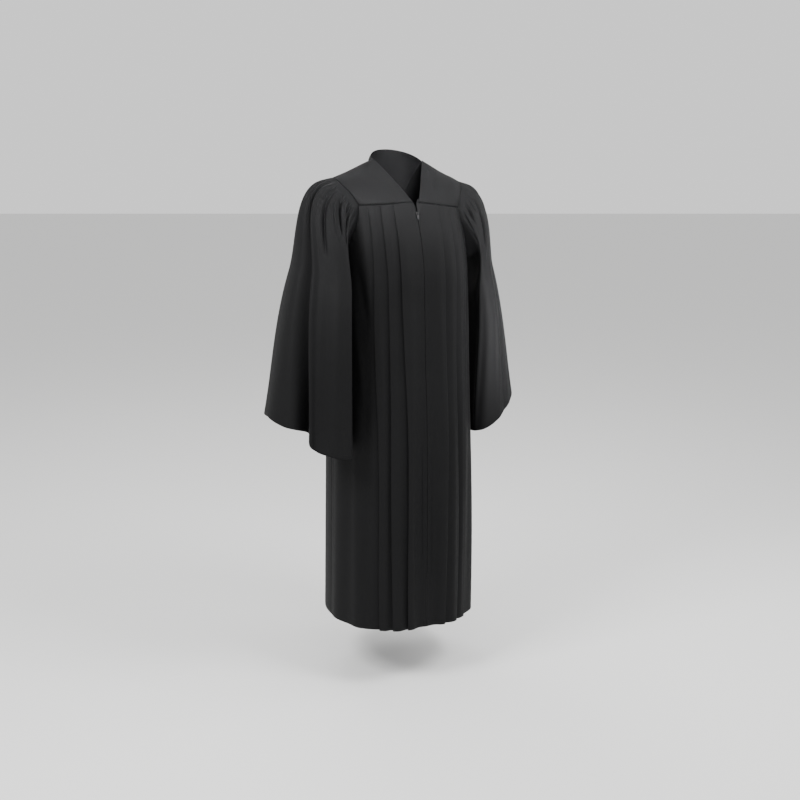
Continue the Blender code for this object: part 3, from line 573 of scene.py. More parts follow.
def back_yoke_line(along):
    """One line down the back yoke, below zero on the wearer's right; the neck lies within NECK_SHARE."""
    side = 1.0 if along >= 0.0 else -1.0
    part = abs(along)
    if part <= NECK_SHARE:
        turn = 0.5 * np.pi * (1.0 - part / NECK_SHARE)
        top = np.array((SIDE_NECK[0] * np.cos(turn), NAPE[1] * np.sin(turn), NAPE[2] * np.sin(turn)))
        leaves = mix(BACK_TOP_AT_NAPE, BACK_TOP_AT_NECK, np.cos(turn))
    else:
        over = (part - NECK_SHARE) / (1.0 - NECK_SHARE)
        top = shoulder_point(over)
        leaves = mix(BACK_TOP_AT_NECK, BACK_TOP_AT_ARMHOLE, over)
    corner = Outline(YOKE_CORNER_Z)
    half = corner.length[-1] - side_edge_length(corner, YOKE_CORNER_Z, "back_y")
    z = back_seam_height(part)
    outline = Outline(z)
    bottom = outline.points(outline.length[-1] - part * half, BACK_YOKE_LIFT, z + 0.5 * SEAM_GAP, 1.0)
    second = bottom + mix(BACK_SEAM_AT_MIDDLE, BACK_SEAM_AT_ARMHOLE, part)
    if part >= NECK_SHARE:
        line = bezier(top + (0.0, 0.5 * SEAM_GAP, 0.0), top + leaves, second, bottom, YOKE_STEPS)
    else:
        line = bezier(top, top + leaves, second, bottom, YOKE_STEPS)
    return line * (side, 1.0, 1.0)


BACK_YOKE_CREASES = (
    Crease(-0.50, -0.020, -0.80, -0.115, 0.0012, 0.06),
    Crease(0.48, -0.020, 0.76, -0.120, -0.0012, 0.06),
    Crease(-0.10, 0.000, -0.22, -0.120, 0.0010, 0.07),
    Crease(0.14, 0.000, 0.30, -0.120, 0.0009, 0.07),
)
neck_shares = np.linspace(-NECK_SHARE, NECK_SHARE, 61)
outer_shares = np.linspace(NECK_SHARE, 1.0, 31)[1:]
shares = np.concatenate((-outer_shares[::-1], neck_shares, outer_shares))
grid = np.array([back_yoke_line(share) for share in shares])
away = away_from_cloth(grid)
if away[len(shares) // 2, YOKE_STEPS // 2, 1] < 0.0:
    away = -away
grid = grid + away * crease_depth(shares[:, None], grid[..., 2], BACK_YOKE_CREASES)[..., None]
grid = np.array([turned_edge(line, out[-1]) for line, out in zip(grid, away)])
grid = np.transpose(grid, (1, 0, 2))
back_yoke_panel = cloth_piece("back_yoke_panel", grid)
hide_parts("back_yoke")
cut_area(grid)


# Fronts: two straight panels, each with three knife pleats pressed towards the side, caught in the yoke's seam
# and left to fall open below. The pleats' folds hang a little unevenly, and the hem swings in shallow flutes.
Pleat = namedtuple("Pleat", "at_yoke halfway at_hem")
PLEATS = (
    Pleat(0.067, 0.062, 0.059),
    Pleat(0.103, 0.104, 0.103),
    Pleat(0.133, 0.137, 0.135),
)
PLEAT_LAP = 0.014
PLEAT_RISE_AT_YOKE = 0.0031
PLEAT_RISE_AT_HEM = 0.0084
CENTRE_SWELL_X = 0.030
FACING_WIDTH = 0.0085
# The side seam's allowance: how far it reaches behind the back panel, and how deep it lies
Allowance = namedtuple("Allowance", "reach depth")
SIDE_ALLOWANCE = (Allowance(0.0002, 0.0008), Allowance(0.0030, 0.0013), Allowance(0.0060, 0.0015))
# The top edge under the yoke: height above the seam and the share of the pleats' rise that is left there
Tuck = namedtuple("Tuck", "up share")
FRONT_TUCKS = (Tuck(0.0080, 0.0), Tuck(0.0030, 0.05), Tuck(0.0002, 0.10))
TUCK_DEPTH = 0.0010
YOKE_SLOPE_AT_NECK = 0.83
YOKE_SLOPE_AT_ARMHOLE = 0.33
# The row that comes round out of the seam: how far below it, how far behind, and its share of the pleats' rise
SEAM_ROW_BELOW = 0.0014
SEAM_ROW_BEHIND = 0.0004
SEAM_ROW_SHARE = 0.8
FIRST_ROW_BELOW = 0.0035
# Which way the side allowance lies: back under the back panel, or under the front itself beside the armhole
ALLOWANCE_TO_BACK = 1.0
ALLOWANCE_UNDER_ITSELF = -0.6
ALLOWANCE_TURNS_OVER = 0.03
# The facing turned in behind the centre edge, and how far the edge rounds over
FACING_BEHIND = 0.0011
EDGE_BEHIND = 0.0006
EDGE_ROUNDING = 0.0003
FLUTE_DEPTH = 0.0030
FLUTES_PER_METRE = 9.0
FLUTE_SLANT = 0.35
EDGE_FADE = 0.02
# Half the distance between the two centre edges: they part round the slider and close over the coil below it
CentreGap = namedtuple("CentreGap", "z half")
CENTRE_GAP = (
    CentreGap(-0.105, 0.0020),
    CentreGap(-0.130, 0.0018),
    CentreGap(-0.146, 0.0017),
    CentreGap(-0.165, 0.0009),
    CentreGap(-0.230, 0.0006),
    CentreGap(-1.165, 0.0006),
    CentreGap(-1.180, 0.00003),
    CentreGap(HEM_Z, 0.00003),
)
FRONT_ROWS = 190
# How many steps each stretch of a pleat gets: up its top layer, round its fold, back under it and round again
TOP_STEPS, FOLD_STEPS, UNDER_STEPS, FOOT_STEPS = 5, 4, 4, 4
FRONT_SIDE_STEPS = 22
Sway = namedtuple("Sway", "amount waves start")
PLEAT_SWAY = {
    "right": (Sway(0.0022, 1.3, 0.10), Sway(0.0026, 1.1, 0.45), Sway(0.0024, 1.6, 0.80)),
    "left": (Sway(0.0020, 1.2, 0.60), Sway(0.0028, 1.4, 0.20), Sway(0.0022, 1.0, 0.35)),
}
# Creases by the distance along the cloth from the centre edge and by height
FRONT_CREASES = {
    "right": (
        Crease(0.045, -0.20, 0.040, -0.75, 0.0022, 0.014),
        Crease(0.022, -0.55, 0.030, -1.28, -0.0024, 0.016),
        Crease(0.052, -0.85, 0.045, -1.40, 0.0036, 0.014),
        Crease(0.086, -0.16, 0.082, -0.60, 0.0018, 0.010),
        Crease(0.084, -0.60, 0.088, -1.40, 0.0034, 0.013),
        Crease(0.122, -0.30, 0.118, -0.95, 0.0024, 0.010),
        Crease(0.118, -0.80, 0.124, -1.40, 0.0036, 0.012),
        Crease(0.160, -0.13, 0.150, -0.52, 0.0030, 0.011),
        Crease(0.190, -0.27, 0.158, -0.46, -0.0030, 0.010),
        Crease(0.215, -0.30, 0.175, -0.70, 0.0034, 0.012),
        Crease(0.172, -0.50, 0.178, -1.40, -0.0050, 0.015),
        Crease(0.206, -0.60, 0.214, -1.42, 0.0060, 0.018),
    ),
    "left": (
        Crease(0.040, -0.22, 0.046, -0.80, 0.0020, 0.014),
        Crease(0.026, -0.60, 0.020, -1.26, -0.0022, 0.015),
        Crease(0.048, -0.90, 0.056, -1.40, 0.0034, 0.014),
        Crease(0.086, -0.18, 0.090, -0.62, 0.0018, 0.010),
        Crease(0.090, -0.66, 0.082, -1.40, 0.0032, 0.013),
        Crease(0.118, -0.26, 0.124, -0.90, 0.0026, 0.010),
        Crease(0.124, -0.84, 0.116, -1.40, 0.0034, 0.012),
        Crease(0.156, -0.13, 0.152, -0.48, 0.0026, 0.011),
        Crease(0.196, -0.27, 0.160, -0.50, -0.0030, 0.010),
        Crease(0.210, -0.32, 0.184, -0.76, 0.0032, 0.012),
        Crease(0.176, -0.46, 0.170, -1.40, -0.0046, 0.015),
        Crease(0.212, -0.58, 0.204, -1.42, 0.0058, 0.018),
    ),
}


def pleat_rise(z):
    """How far a pleat's fold stands above the cloth under it."""
    along = np.clip((z - YOKE_CORNER_Z) / (HEM_Z - YOKE_CORNER_Z), 0.0, 1.0)
    return PLEAT_RISE_AT_YOKE + (PLEAT_RISE_AT_HEM - PLEAT_RISE_AT_YOKE) * along ** 0.5


def softened(values, rounds):
    """Round off a line of numbers, with its ends kept."""
    for _ in range(rounds):
        inner = 0.25 * values[:-2] + 0.5 * values[1:-1] + 0.25 * values[2:]
        values = np.concatenate((values[:1], inner, values[-1:]))
    return values


def front_section(outline, z, side_edge, sways):
    """One front's section: lengths and rises, from the centre edge over the pleats to the side edge."""
    rise = pleat_rise(z)
    down = (z - YOKE_CORNER_Z) / (HEM_Z - YOKE_CORNER_Z)
    middle_z = 0.5 * (YOKE_CORNER_Z + HEM_Z)
    edge = float(np.interp(-z, [-row.z for row in CENTRE_GAP], column(CENTRE_GAP, "half")))
    corners = [
        (edge + FACING_WIDTH, -FACING_BEHIND, 4),
        (edge + EDGE_BEHIND, -FACING_BEHIND, 2),
        (edge, -EDGE_BEHIND, 2),
        (edge + EDGE_ROUNDING, 0.0, 3),
        (NECK_CORNER_X, 0.0, 4),
        (CENTRE_SWELL_X, 0.30 * rise, 8),
    ]
    for pleat, sway in zip(PLEATS, sways):
        places = (pleat.at_yoke, pleat.halfway, pleat.at_hem)
        edge_x = smooth_curve((YOKE_CORNER_Z, middle_z, HEM_Z), places, z)
        fold = float(outline.at_x(edge_x))
        fold += sway.amount * np.sin(2.0 * np.pi * (sway.waves * down + sway.start)) * min(6.0 * down, 1.0)
        corners += [
            (fold - PLEAT_LAP - 0.002, 0.94 * rise, TOP_STEPS),
            (fold, rise, FOLD_STEPS),
            (fold, 0.5 * rise, UNDER_STEPS),
            (fold - PLEAT_LAP, 0.5 * rise, FOOT_STEPS),
            (fold - PLEAT_LAP, 0.0, UNDER_STEPS),
            (fold + 0.004, 0.0, 8),
        ]
    corners[-1] = corners[-1][:2] + (FRONT_SIDE_STEPS,)
    corners.append((side_edge, 0.0, 0))
    lengths, rises = [], []
    for (length, height, steps), (next_length, next_height, _) in zip(corners, corners[1:]):
        part = np.arange(steps) / steps
        lengths.append(length + (next_length - length) * part)
        rises.append(height + (next_height - height) * part)
    lengths = np.concatenate(lengths + [[side_edge]])
    rises = np.concatenate(rises + [[0.0]])
    return softened(lengths, 2), softened(rises, 2)


def with_allowance(lengths, rises, edge, way):
    """A front's section with the side seam's allowance, which lies one way or the other."""
    return (np.concatenate((lengths, [edge + way * part.reach for part in SIDE_ALLOWANCE])),
            np.concatenate((rises, [-part.depth for part in SIDE_ALLOWANCE])))


def front_grid(side):
    """Rows of points of one front on the wearer's left, from the yoke seam to the hem."""
    depth = np.linspace(0.0, 1.0, FRONT_ROWS) ** 1.25
    heights = YOKE_CORNER_Z - FIRST_ROW_BELOW + (HEM_Z - YOKE_CORNER_Z + FIRST_ROW_BELOW) * depth
    rows = []
    top = Outline(YOKE_CORNER_Z)
    edge = side_edge_length(top, YOKE_CORNER_Z, "front_y")
    lengths, rises = front_section(top, YOKE_CORNER_Z, edge, PLEAT_SWAY[side])
    lengths, rises = with_allowance(lengths, rises, edge, ALLOWANCE_UNDER_ITSELF)
    x = np.interp(lengths, top.length, top.x)
    z = seam_height(x)
    # The seam's own rows: up behind the yoke along its slope, and round into the seam
    along = np.clip((x - NECK_CORNER_X) / (np.interp(edge, top.length, top.x) - NECK_CORNER_X), 0.0, 1.0)
    at_neck = np.interp(x, (0.004, 0.014), (0.3, 1.0))
    slope = YOKE_SLOPE_AT_NECK + (YOKE_SLOPE_AT_ARMHOLE - YOKE_SLOPE_AT_NECK) * along
    for up, share in FRONT_TUCKS:
        sink = TUCK_DEPTH + YOKE_LIFT * along ** 6 + slope * up * at_neck
        out = share * np.maximum(rises, 0.0) + np.minimum(rises, 0.0) - sink
        rows.append(np.array([Outline(h).points(length, o, h + up * w, 1.0)
                              for length, o, h, w in zip(lengths, out, z, at_neck)]))
    out = SEAM_ROW_SHARE * np.maximum(rises, 0.0) + np.minimum(rises, 0.0)
    out = out - SEAM_ROW_BEHIND - YOKE_LIFT * 0.3 * along ** 6
    rows.append(np.array([Outline(h).points(length, o, h - SEAM_ROW_BELOW, 1.0)
                          for length, o, h in zip(lengths, out, z)]))
    for height in heights:
        outline = Outline(height)
        edge = side_edge_length(outline, height, "front_y")
        if height <= UNDERARM_Z:
            edge -= 0.5 * SEAM_GAP
        way = np.interp(height, (UNDERARM_Z - ALLOWANCE_TURNS_OVER, UNDERARM_Z),
                        (ALLOWANCE_TO_BACK, ALLOWANCE_UNDER_ITSELF))
        lengths, rises = front_section(outline, height, edge, PLEAT_SWAY[side])
        lengths, rises = with_allowance(lengths, rises, edge, way)
        relief = crease_depth(lengths, height, FRONT_CREASES[side])
        lower = np.clip((UNDERARM_Z - height) / 0.5, 0.0, 1.0)
        flute = FLUTE_DEPTH * lower * np.sin(2.0 * np.pi * (lengths * FLUTES_PER_METRE + height * FLUTE_SLANT))
        edge_fade = np.clip((edge - lengths) / EDGE_FADE, 0.0, 1.0) * np.clip(lengths / EDGE_FADE, 0.0, 1.0)
        points = outline.points(lengths, rises + (relief + flute) * edge_fade, height, 1.0)
        ease = np.clip((height - (YOKE_CORNER_Z - 0.05)) / 0.05, 0.0, 1.0)
        points[:, 2] = height + (z - YOKE_CORNER_Z) * ease
        rows.append(points)
    return np.array(rows)


BODY_HEM_ROWS = 4
# The stitches beside the zip start below the seam's rows, on the line of the section nearest to this distance
# from the centre; those of the hem leave out the facing and the side allowance
STITCHES_BESIDE_ZIP = 0.0065
SEAM_ROWS = 5
FACING_COLUMNS = 9
BEFORE_PLEATS = 20
HEM_STITCHES = slice(12, -3)
for side in ("right", "left"):
    grid = front_grid(side)
    out = out_of_cloth(grid, 0.0)
    section = front_section(Outline(-0.6), -0.6, Outline(-0.6).side, PLEAT_SWAY[side])[0]
    near_centre = section[FACING_COLUMNS:BEFORE_PLEATS]
    beside_zip = FACING_COLUMNS + int(np.argmin(np.abs(near_centre - STITCHES_BESIDE_ZIP)))
    sew(grid[SEAM_ROWS:, beside_zip] * MIRROR[side], out[SEAM_ROWS:, beside_zip] * MIRROR[side])
    sew(grid[-BODY_HEM_ROWS, HEM_STITCHES] * MIRROR[side], out[-BODY_HEM_ROWS, HEM_STITCHES] * MIRROR[side])
    grid = turned_hem(grid, out, BODY_HEM_ROWS) * MIRROR[side]
    panel = cloth_piece("front_panel_" + side, grid)
    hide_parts("front_" + side)
    cut_area(grid)


# Back: one wide panel gathered into the back yoke's seam, falling in soft tubes that swell towards the hem.
BACK_GATHERS = 12
GATHER_DEPTH_AT_YOKE = 0.0035
GATHER_DEPTH_AT_HEM = 0.0100
GATHERED_HALF_AT_YOKE = 0.146
GATHERED_HALF_AT_HEM = 0.225
BACK_COLUMNS = 230
BACK_ROWS = 170
PUCKERS = 41
# The gathers are pressed flatter just under the seam, from the first height below it to the second
PRESSED_BELOW = (0.0035, 0.022)
PRESSED_SHARE = (0.60, 1.0)
# The top edge under the yoke, row by row: height above the seam, depth behind it and share of the gathers' depth
BackTuck = namedtuple("BackTuck", "up sink share")
BACK_TUCKS = (
    BackTuck(0.0080, -0.0022, 0.0),
    BackTuck(0.0030, -0.0026, 0.0),
    BackTuck(0.0002, -0.0027, 0.10),
    BackTuck(-0.0014, -0.0014, 0.40),
)
BACK_YOKE_SLOPE = 0.27
BACK_CREASES = (
    Crease(-0.070, -0.14, -0.082, -0.45, -0.0024, 0.007),
    Crease(0.018, -0.14, 0.010, -0.52, 0.0024, 0.008),
    Crease(0.092, -0.15, 0.104, -0.50, -0.0022, 0.007),
    Crease(-0.030, -0.40, -0.044, -1.00, 0.0036, 0.012),
    Crease(0.060, -0.50, 0.052, -1.20, -0.0036, 0.012),
    Crease(-0.130, -0.45, -0.120, -1.30, 0.0042, 0.014),
    Crease(0.150, -0.40, 0.160, -1.25, 0.0042, 0.014),
    Crease(-0.215, -0.28, -0.180, -0.52, -0.0030, 0.010),
    Crease(0.212, -0.28, 0.178, -0.55, -0.0030, 0.010),
)


def back_gather(across, z):
    """How far the back's gathers stand out; across runs from -1 to 1 over the gathered part."""
    down = np.clip((z - BACK_YOKE_Z) / (HEM_Z - BACK_YOKE_Z), 0.0, 1.0)
    depth = GATHER_DEPTH_AT_YOKE + (GATHER_DEPTH_AT_HEM - GATHER_DEPTH_AT_YOKE) * down ** 0.6
    fade = np.clip(6.0 * (1.0 - np.abs(across)), 0.0, 1.0)
    swing = 0.60 * np.sin(2.0 * np.pi * (across + 0.5 * down))
    wave = np.cos(np.pi * (BACK_GATHERS * across + swing))
    small = 0.0011 * np.exp(-down * 22.0) * np.cos(np.pi * PUCKERS * (across + 0.02 * np.sin(9.0 * across)))
    return fade * (depth * (0.80 * wave + 0.25 * np.cos(np.pi * 5.0 * across + 1.0)) + small)


def back_row(height, tuck=None):
    """One row of the back, from the wearer's right side to the left; a tuck's row follows the seam."""
    outline = Outline(height)
    edge = side_edge_length(outline, height, "back_y")
    if height <= UNDERARM_Z:
        edge += 0.5 * SEAM_GAP
    half = outline.length[-1] - edge
    down = np.clip((height - YOKE_CORNER_Z) / (HEM_Z - YOKE_CORNER_Z), 0.0, 1.0)
    gathered_half = GATHERED_HALF_AT_YOKE + (GATHERED_HALF_AT_HEM - GATHERED_HALF_AT_YOKE) * down ** 0.5
    inner = min(gathered_half, 0.92 * half)
    place = np.linspace(-half, half, BACK_COLUMNS)
    across = np.clip(place / inner, -1.0, 1.0)
    relief = crease_depth(place, height, BACK_CREASES) * np.clip((half - np.abs(place)) / 0.02, 0.0, 1.0)
    out = back_gather(across, height) + relief
    reach = np.abs(place) / half
    side = np.where(place > 0.0, 1.0, -1.0)
    if tuck is None:
        out = out * np.interp(YOKE_CORNER_Z - height, PRESSED_BELOW, PRESSED_SHARE)
        points = outline.points(outline.length[-1] - np.abs(place), out, height, side)
        ease = np.clip((height - (YOKE_CORNER_Z - 0.06)) / 0.06, 0.0, 1.0)
        points[:, 2] += (back_seam_height(reach) - YOKE_CORNER_Z) * ease
        return points
    z = back_seam_height(reach)
    out = tuck.share * out + tuck.sink - BACK_YOKE_SLOPE * reach ** 2 * max(tuck.up, 0.0)
    return np.array([Outline(h).points(outline.length[-1] - abs(p), o, h + tuck.up, s)
                     for h, p, o, s in zip(z, place, out, side)])


rows = [back_row(YOKE_CORNER_Z, tuck) for tuck in BACK_TUCKS]
steps = np.linspace(0.0, 1.0, BACK_ROWS) ** 1.25
rows += [back_row(YOKE_CORNER_Z - FIRST_ROW_BELOW + (HEM_Z - YOKE_CORNER_Z + FIRST_ROW_BELOW) * step)
         for step in steps]
grid = np.array(rows)
out = out_of_cloth(grid, 0.0)
sew(grid[-BODY_HEM_ROWS], out[-BODY_HEM_ROWS])
grid = turned_hem(grid, out, BODY_HEM_ROWS)
back_panel = cloth_piece("back_panel", grid)
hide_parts("back")
cut_area(grid)


# Sleeves: two bell sleeves, each cut wider at the cap than its armhole and gathered in, so that folds fall from
# the shoulder. The cloth rolls out of the seam before the gathers open, and the front edge hangs longest.
ARMHOLE_GAP = 0.0013
ARMHOLE_LIFT = 0.0008
FRONT_CORNER_ANGLE = 66
BACK_CORNER_ANGLE = 294
CAP_SHARE = {"right": 0.80, "left": 0.66}
CAP_BEND = 0.25
RING_ROUNDNESS = 2.2
TURNED_AT_ELBOW = 0.75
Leave = namedtuple("Leave", "angle out forward down width")
LEAVE = (
    Leave(0, 0.97, 0.00, 0.25, 0.052),
    Leave(65, 0.72, 0.46, 0.52, 0.044),
    Leave(120, 0.70, 0.44, 0.56, 0.034),
    Leave(180, 0.76, 0.00, 0.65, 0.024),
    Leave(240, 0.70, -0.44, 0.56, 0.034),
    Leave(295, 0.72, -0.46, 0.52, 0.044),
    Leave(360, 0.97, 0.00, 0.25, 0.052),
)
Ring = namedtuple("Ring", "outer inner front back front_shift back_shift")
RINGS = {
    "right": (
        Ring(0.320, 0.2150, -0.166, 0.125, 0.045, 0.026),
        Ring(0.400, 0.2195, -0.172, 0.190, 0.070, 0.036),
    ),
    "left": (
        Ring(0.296, 0.2150, -0.100, 0.125, 0.020, 0.022),
        Ring(0.375, 0.2195, -0.096, 0.195, 0.030, 0.030),
    ),
}
Height = namedtuple("Height", "angle elbow right left")
HEIGHTS = (
    Height(0, -0.296, -0.703, -0.664),
    Height(22, -0.302, -0.717, -0.680),
    Height(41, -0.314, -0.732, -0.700),
    Height(53, -0.325, -0.772, -0.715),
    Height(70, -0.335, -0.790, -0.735),
    Height(90, -0.344, -0.800, -0.760),
    Height(135, -0.385, -0.792, -0.782),
    Height(180, -0.400, -0.786, -0.784),
    Height(225, -0.380, -0.776, -0.772),
    Height(270, -0.335, -0.748, -0.742),
    Height(315, -0.310, -0.716, -0.706),
    Height(360, -0.296, -0.703, -0.664),
)
Turn = namedtuple("Turn", "at_cap at_hem")
TURNS = (
    Turn(0, 0), Turn(12, 38), Turn(30, 60), Turn(FRONT_CORNER_ANGLE, 94), Turn(120, 138), Turn(180, 180),
    Turn(240, 222), Turn(BACK_CORNER_ANGLE, 266), Turn(330, 302), Turn(348, 327), Turn(360, 360),
)
SLEEVE_ROWS = 150
SLEEVE_HEM_ROWS = 3
ROLL_END = 0.07
# Long folds: the angle where a fold leaves the cap, how far it has wandered from there at the elbow and at the
# hem, its half width, and how far it sinks in near the cap, halfway and at the hem. Below zero it stands out.
Fold = namedtuple("Fold", "angle elbow_drift hem_drift spread at_cap halfway at_hem")
FOLDS = {
    "right": (
        Fold(11, -2, 3, 2.6, 0.012, 0.028, 0.055),
        Fold(16, -2, 3, 2.6, -0.006, -0.012, -0.012),
        Fold(349, 0, 0, 3.6, 0.010, 0.014, 0.024),
        Fold(338, 0, 0, 3.2, 0.009, 0.004, 0.004),
        Fold(326, 0, 0, 3.4, 0.010, 0.006, 0.012),
        Fold(314, 0, 0, 3.0, 0.008, 0.003, 0.002),
        Fold(302, 0, 0, 3.2, 0.007, 0.005, 0.007),
    ),
    "left": (
        Fold(12, 0, 0, 3.0, 0.008, 0.004, 0.002),
        Fold(350, 0, 0, 3.6, 0.010, 0.012, 0.020),
        Fold(338, 0, 0, 3.2, 0.008, 0.004, 0.004),
        Fold(326, 0, 0, 3.4, 0.010, 0.006, 0.012),
        Fold(314, 0, 0, 3.0, 0.007, 0.003, 0.002),
        Fold(302, 0, 0, 3.2, 0.007, 0.005, 0.006),
    ),
}
# Short folds that cross the cloth's lines: from one angle and share of the sleeve's length to another
Pucker = namedtuple("Pucker", "angle share low_angle low_share depth width")
PUCKERS_AT_CAP = {
    "right": (
        Pucker(29, 0.030, 29, 0.30, 0.0110, 2.6),
        Pucker(33, 0.035, 52, 0.21, -0.0070, 2.4),
        Pucker(38, 0.030, 60, 0.18, 0.0105, 2.2),
        Pucker(44, 0.025, 47, 0.080, 0.0040, 1.5),
        Pucker(50, 0.030, 64, 0.140, -0.0035, 1.8),
        Pucker(54, 0.025, 60, 0.100, 0.0060, 1.8),
        Pucker(60, 0.022, 70, 0.200, 0.0085, 2.2),
        Pucker(22, 0.020, 23, 0.105, 0.0055, 1.6),
        Pucker(5, 0.030, 2, 0.200, 0.0060, 2.4),
        Pucker(354, 0.030, 350, 0.150, 0.0050, 2.0),
        Pucker(75, 0.020, 84, 0.110, 0.0045, 2.6),
        Pucker(95, 0.040, 112, 0.400, 0.0060, 4.0),
        Pucker(318, 0.030, 306, 0.180, 0.0070, 2.2),
        Pucker(330, 0.030, 322, 0.160, 0.0060, 2.0),
        Pucker(342, 0.030, 344, 0.120, -0.0040, 2.0),
        Pucker(255, 0.040, 246, 0.360, 0.0060, 4.0),
    ),
    "left": (
        Pucker(23, 0.025, 46, 0.140, 0.0095, 2.2),
        Pucker(27, 0.035, 62, 0.270, -0.0060, 3.0),
        Pucker(34, 0.060, 60, 0.230, 0.0085, 2.4),
        Pucker(38, 0.025, 52, 0.090, 0.0055, 1.8),
        Pucker(47, 0.025, 66, 0.100, -0.0035, 2.0),
        Pucker(56, 0.022, 68, 0.110, 0.0070, 2.2),
        Pucker(66, 0.020, 84, 0.055, 0.0040, 2.4),
        Pucker(74, 0.025, 90, 0.080, 0.0040, 2.6),
        Pucker(5, 0.030, 3, 0.160, 0.0060, 2.2),
        Pucker(354, 0.030, 351, 0.150, 0.0055, 2.0),
        Pucker(95, 0.040, 114, 0.420, 0.0060, 4.0),
        Pucker(318, 0.030, 307, 0.180, 0.0070, 2.2),
        Pucker(331, 0.030, 324, 0.150, 0.0060, 2.0),
        Pucker(343, 0.030, 345, 0.110, -0.0040, 2.0),
        Pucker(255, 0.040, 247, 0.350, 0.0060, 4.0),
    ),
}
# Broad, shallow waves of the cloth below the cap, the last three alike on both sleeves
BACK_SWELLS = (
    Pucker(100, 0.25, 120, 1.10, -0.0060, 9.0),
    Pucker(280, 0.30, 285, 1.20, 0.0080, 8.0),
    Pucker(225, 0.30, 222, 1.10, -0.0060, 9.0),
)
SWELLS = {
    "right": (
        Pucker(350, 0.25, 345, 1.30, -0.0060, 6.0),
        Pucker(4, 0.30, 3, 1.20, -0.0050, 4.0),
        Pucker(30, 0.32, 33, 1.15, 0.0035, 6.0),
        Pucker(48, 0.28, 44, 1.10, -0.0040, 7.0),
    ) + BACK_SWELLS,
    "left": (
        Pucker(8, 0.22, 12, 1.20, -0.0045, 6.0),
        Pucker(24, 0.26, 30, 1.15, 0.0040, 5.0),
        Pucker(40, 0.25, 46, 1.20, -0.0040, 6.0),
        Pucker(344, 0.25, 340, 1.25, -0.0060, 6.0),
    ) + BACK_SWELLS,
}


def rounded(value, power):
    """A power of a value that keeps its sign, which makes a circle squarer."""
    return np.sign(value) * np.abs(value) ** power


def even_points(points, count):
    """Points spread evenly along a line."""
    points = np.asarray(points)
    lengths = np.concatenate(([0.0], np.cumsum(np.linalg.norm(np.diff(points, axis=0), axis=-1))))
    at = np.linspace(0.0, lengths[-1], count)
    return np.stack([np.interp(at, lengths, points[:, k]) for k in range(3)], axis=-1)


def armhole_side(name, steps):
    """The armhole's edge down one side of the body's panels, and a line just inside it."""
    edge, inside = [], []
    for z in np.linspace(YOKE_CORNER_Z, UNDERARM_Z, steps):
        outline = Outline(z)
        length = side_edge_length(outline, z, name)
        sign = -1.0 if name == "front_y" else 1.0
        edge.append(outline.points(length, 0.0, z, 1.0))
        inside.append(outline.points(length + sign * 0.012, 0.0, z - 0.010, 1.0))
    return np.array(edge), np.array(inside)


def armhole_loop():
    """The armhole on the wearer's left, from the shoulder down the front and up the back.

    Gives the edge's points, the directions away from the panel and out of its cloth, and the angles.
    """
    front_edge, front_inside = armhole_side("front_y", 60)
    back_edge, back_inside = armhole_side("back_y", 60)
    stretches = (
        (front_yoke_line(1.0), front_yoke_line(0.875), 0.0, FRONT_CORNER_ANGLE, 90),
        (front_edge, front_inside, FRONT_CORNER_ANGLE, 180.0, 50),
        (back_edge[::-1], back_inside[::-1], 180.0, BACK_CORNER_ANGLE, 50),
        (back_yoke_line(1.0)[::-1], back_yoke_line(0.92)[::-1], BACK_CORNER_ANGLE, 360.0, 90),
    )
    points, inner, angles = [], [], []
    for edge, inside, start, end, count in stretches:
        points.append(even_points(edge, count + 1)[:-1])
        inner.append(even_points(inside, count + 1)[:-1])
        angles.append(start + (end - start) * np.arange(count) / count)
    points, inner, angles = np.concatenate(points), np.concatenate(inner), np.concatenate(angles)
    for _ in range(3):
        points = 0.25 * np.roll(points, 1, axis=0) + 0.5 * points + 0.25 * np.roll(points, -1, axis=0)
    along = np.roll(points, -1, axis=0) - np.roll(points, 1, axis=0)
    along /= np.linalg.norm(along, axis=-1, keepdims=True)
    away = points - inner
    for _ in range(8):
        away = 0.25 * np.roll(away, 1, axis=0) + 0.5 * away + 0.25 * np.roll(away, -1, axis=0)
    away -= along * (away * along).sum(axis=-1, keepdims=True)
    away /= np.linalg.norm(away, axis=-1, keepdims=True)
    lift = np.cross(along, away)
    outward = lift[:, 0] + 4.0 * points[:, 1] * lift[:, 1] + 0.3 * lift[:, 2]
    lift *= np.where(outward < 0.0, -1.0, 1.0)[:, None]
    return points, away, lift, angles


def turned(angle, share):
    """The angle at which a line of the cloth hangs, part of the way from the cap to the hem."""
    return angle + (smooth_curve(column(TURNS, "at_cap"), column(TURNS, "at_hem"), angle) - angle) * share


def ring_points(ring, angle, heights):
    """Points of a sleeve's ring at angles, on the wearer's left."""
    turn = np.radians(angle)
    across = rounded(np.cos(turn), 2.0 / RING_ROUNDNESS)
    forward = rounded(np.sin(turn), 2.0 / RING_ROUNDNESS)
    shift = np.where(forward > 0, ring.front_shift, ring.back_shift)
    reach = np.where(forward > 0, ring.front, ring.back)
    x = 0.5 * (ring.outer + ring.inner) + 0.5 * (ring.outer - ring.inner) * across - shift * forward ** 2
    z = smooth_curve(column(HEIGHTS, "angle"), column(HEIGHTS, heights), angle)
    return np.stack((np.maximum(x, ring.inner), reach * np.abs(forward), z), axis=-1)


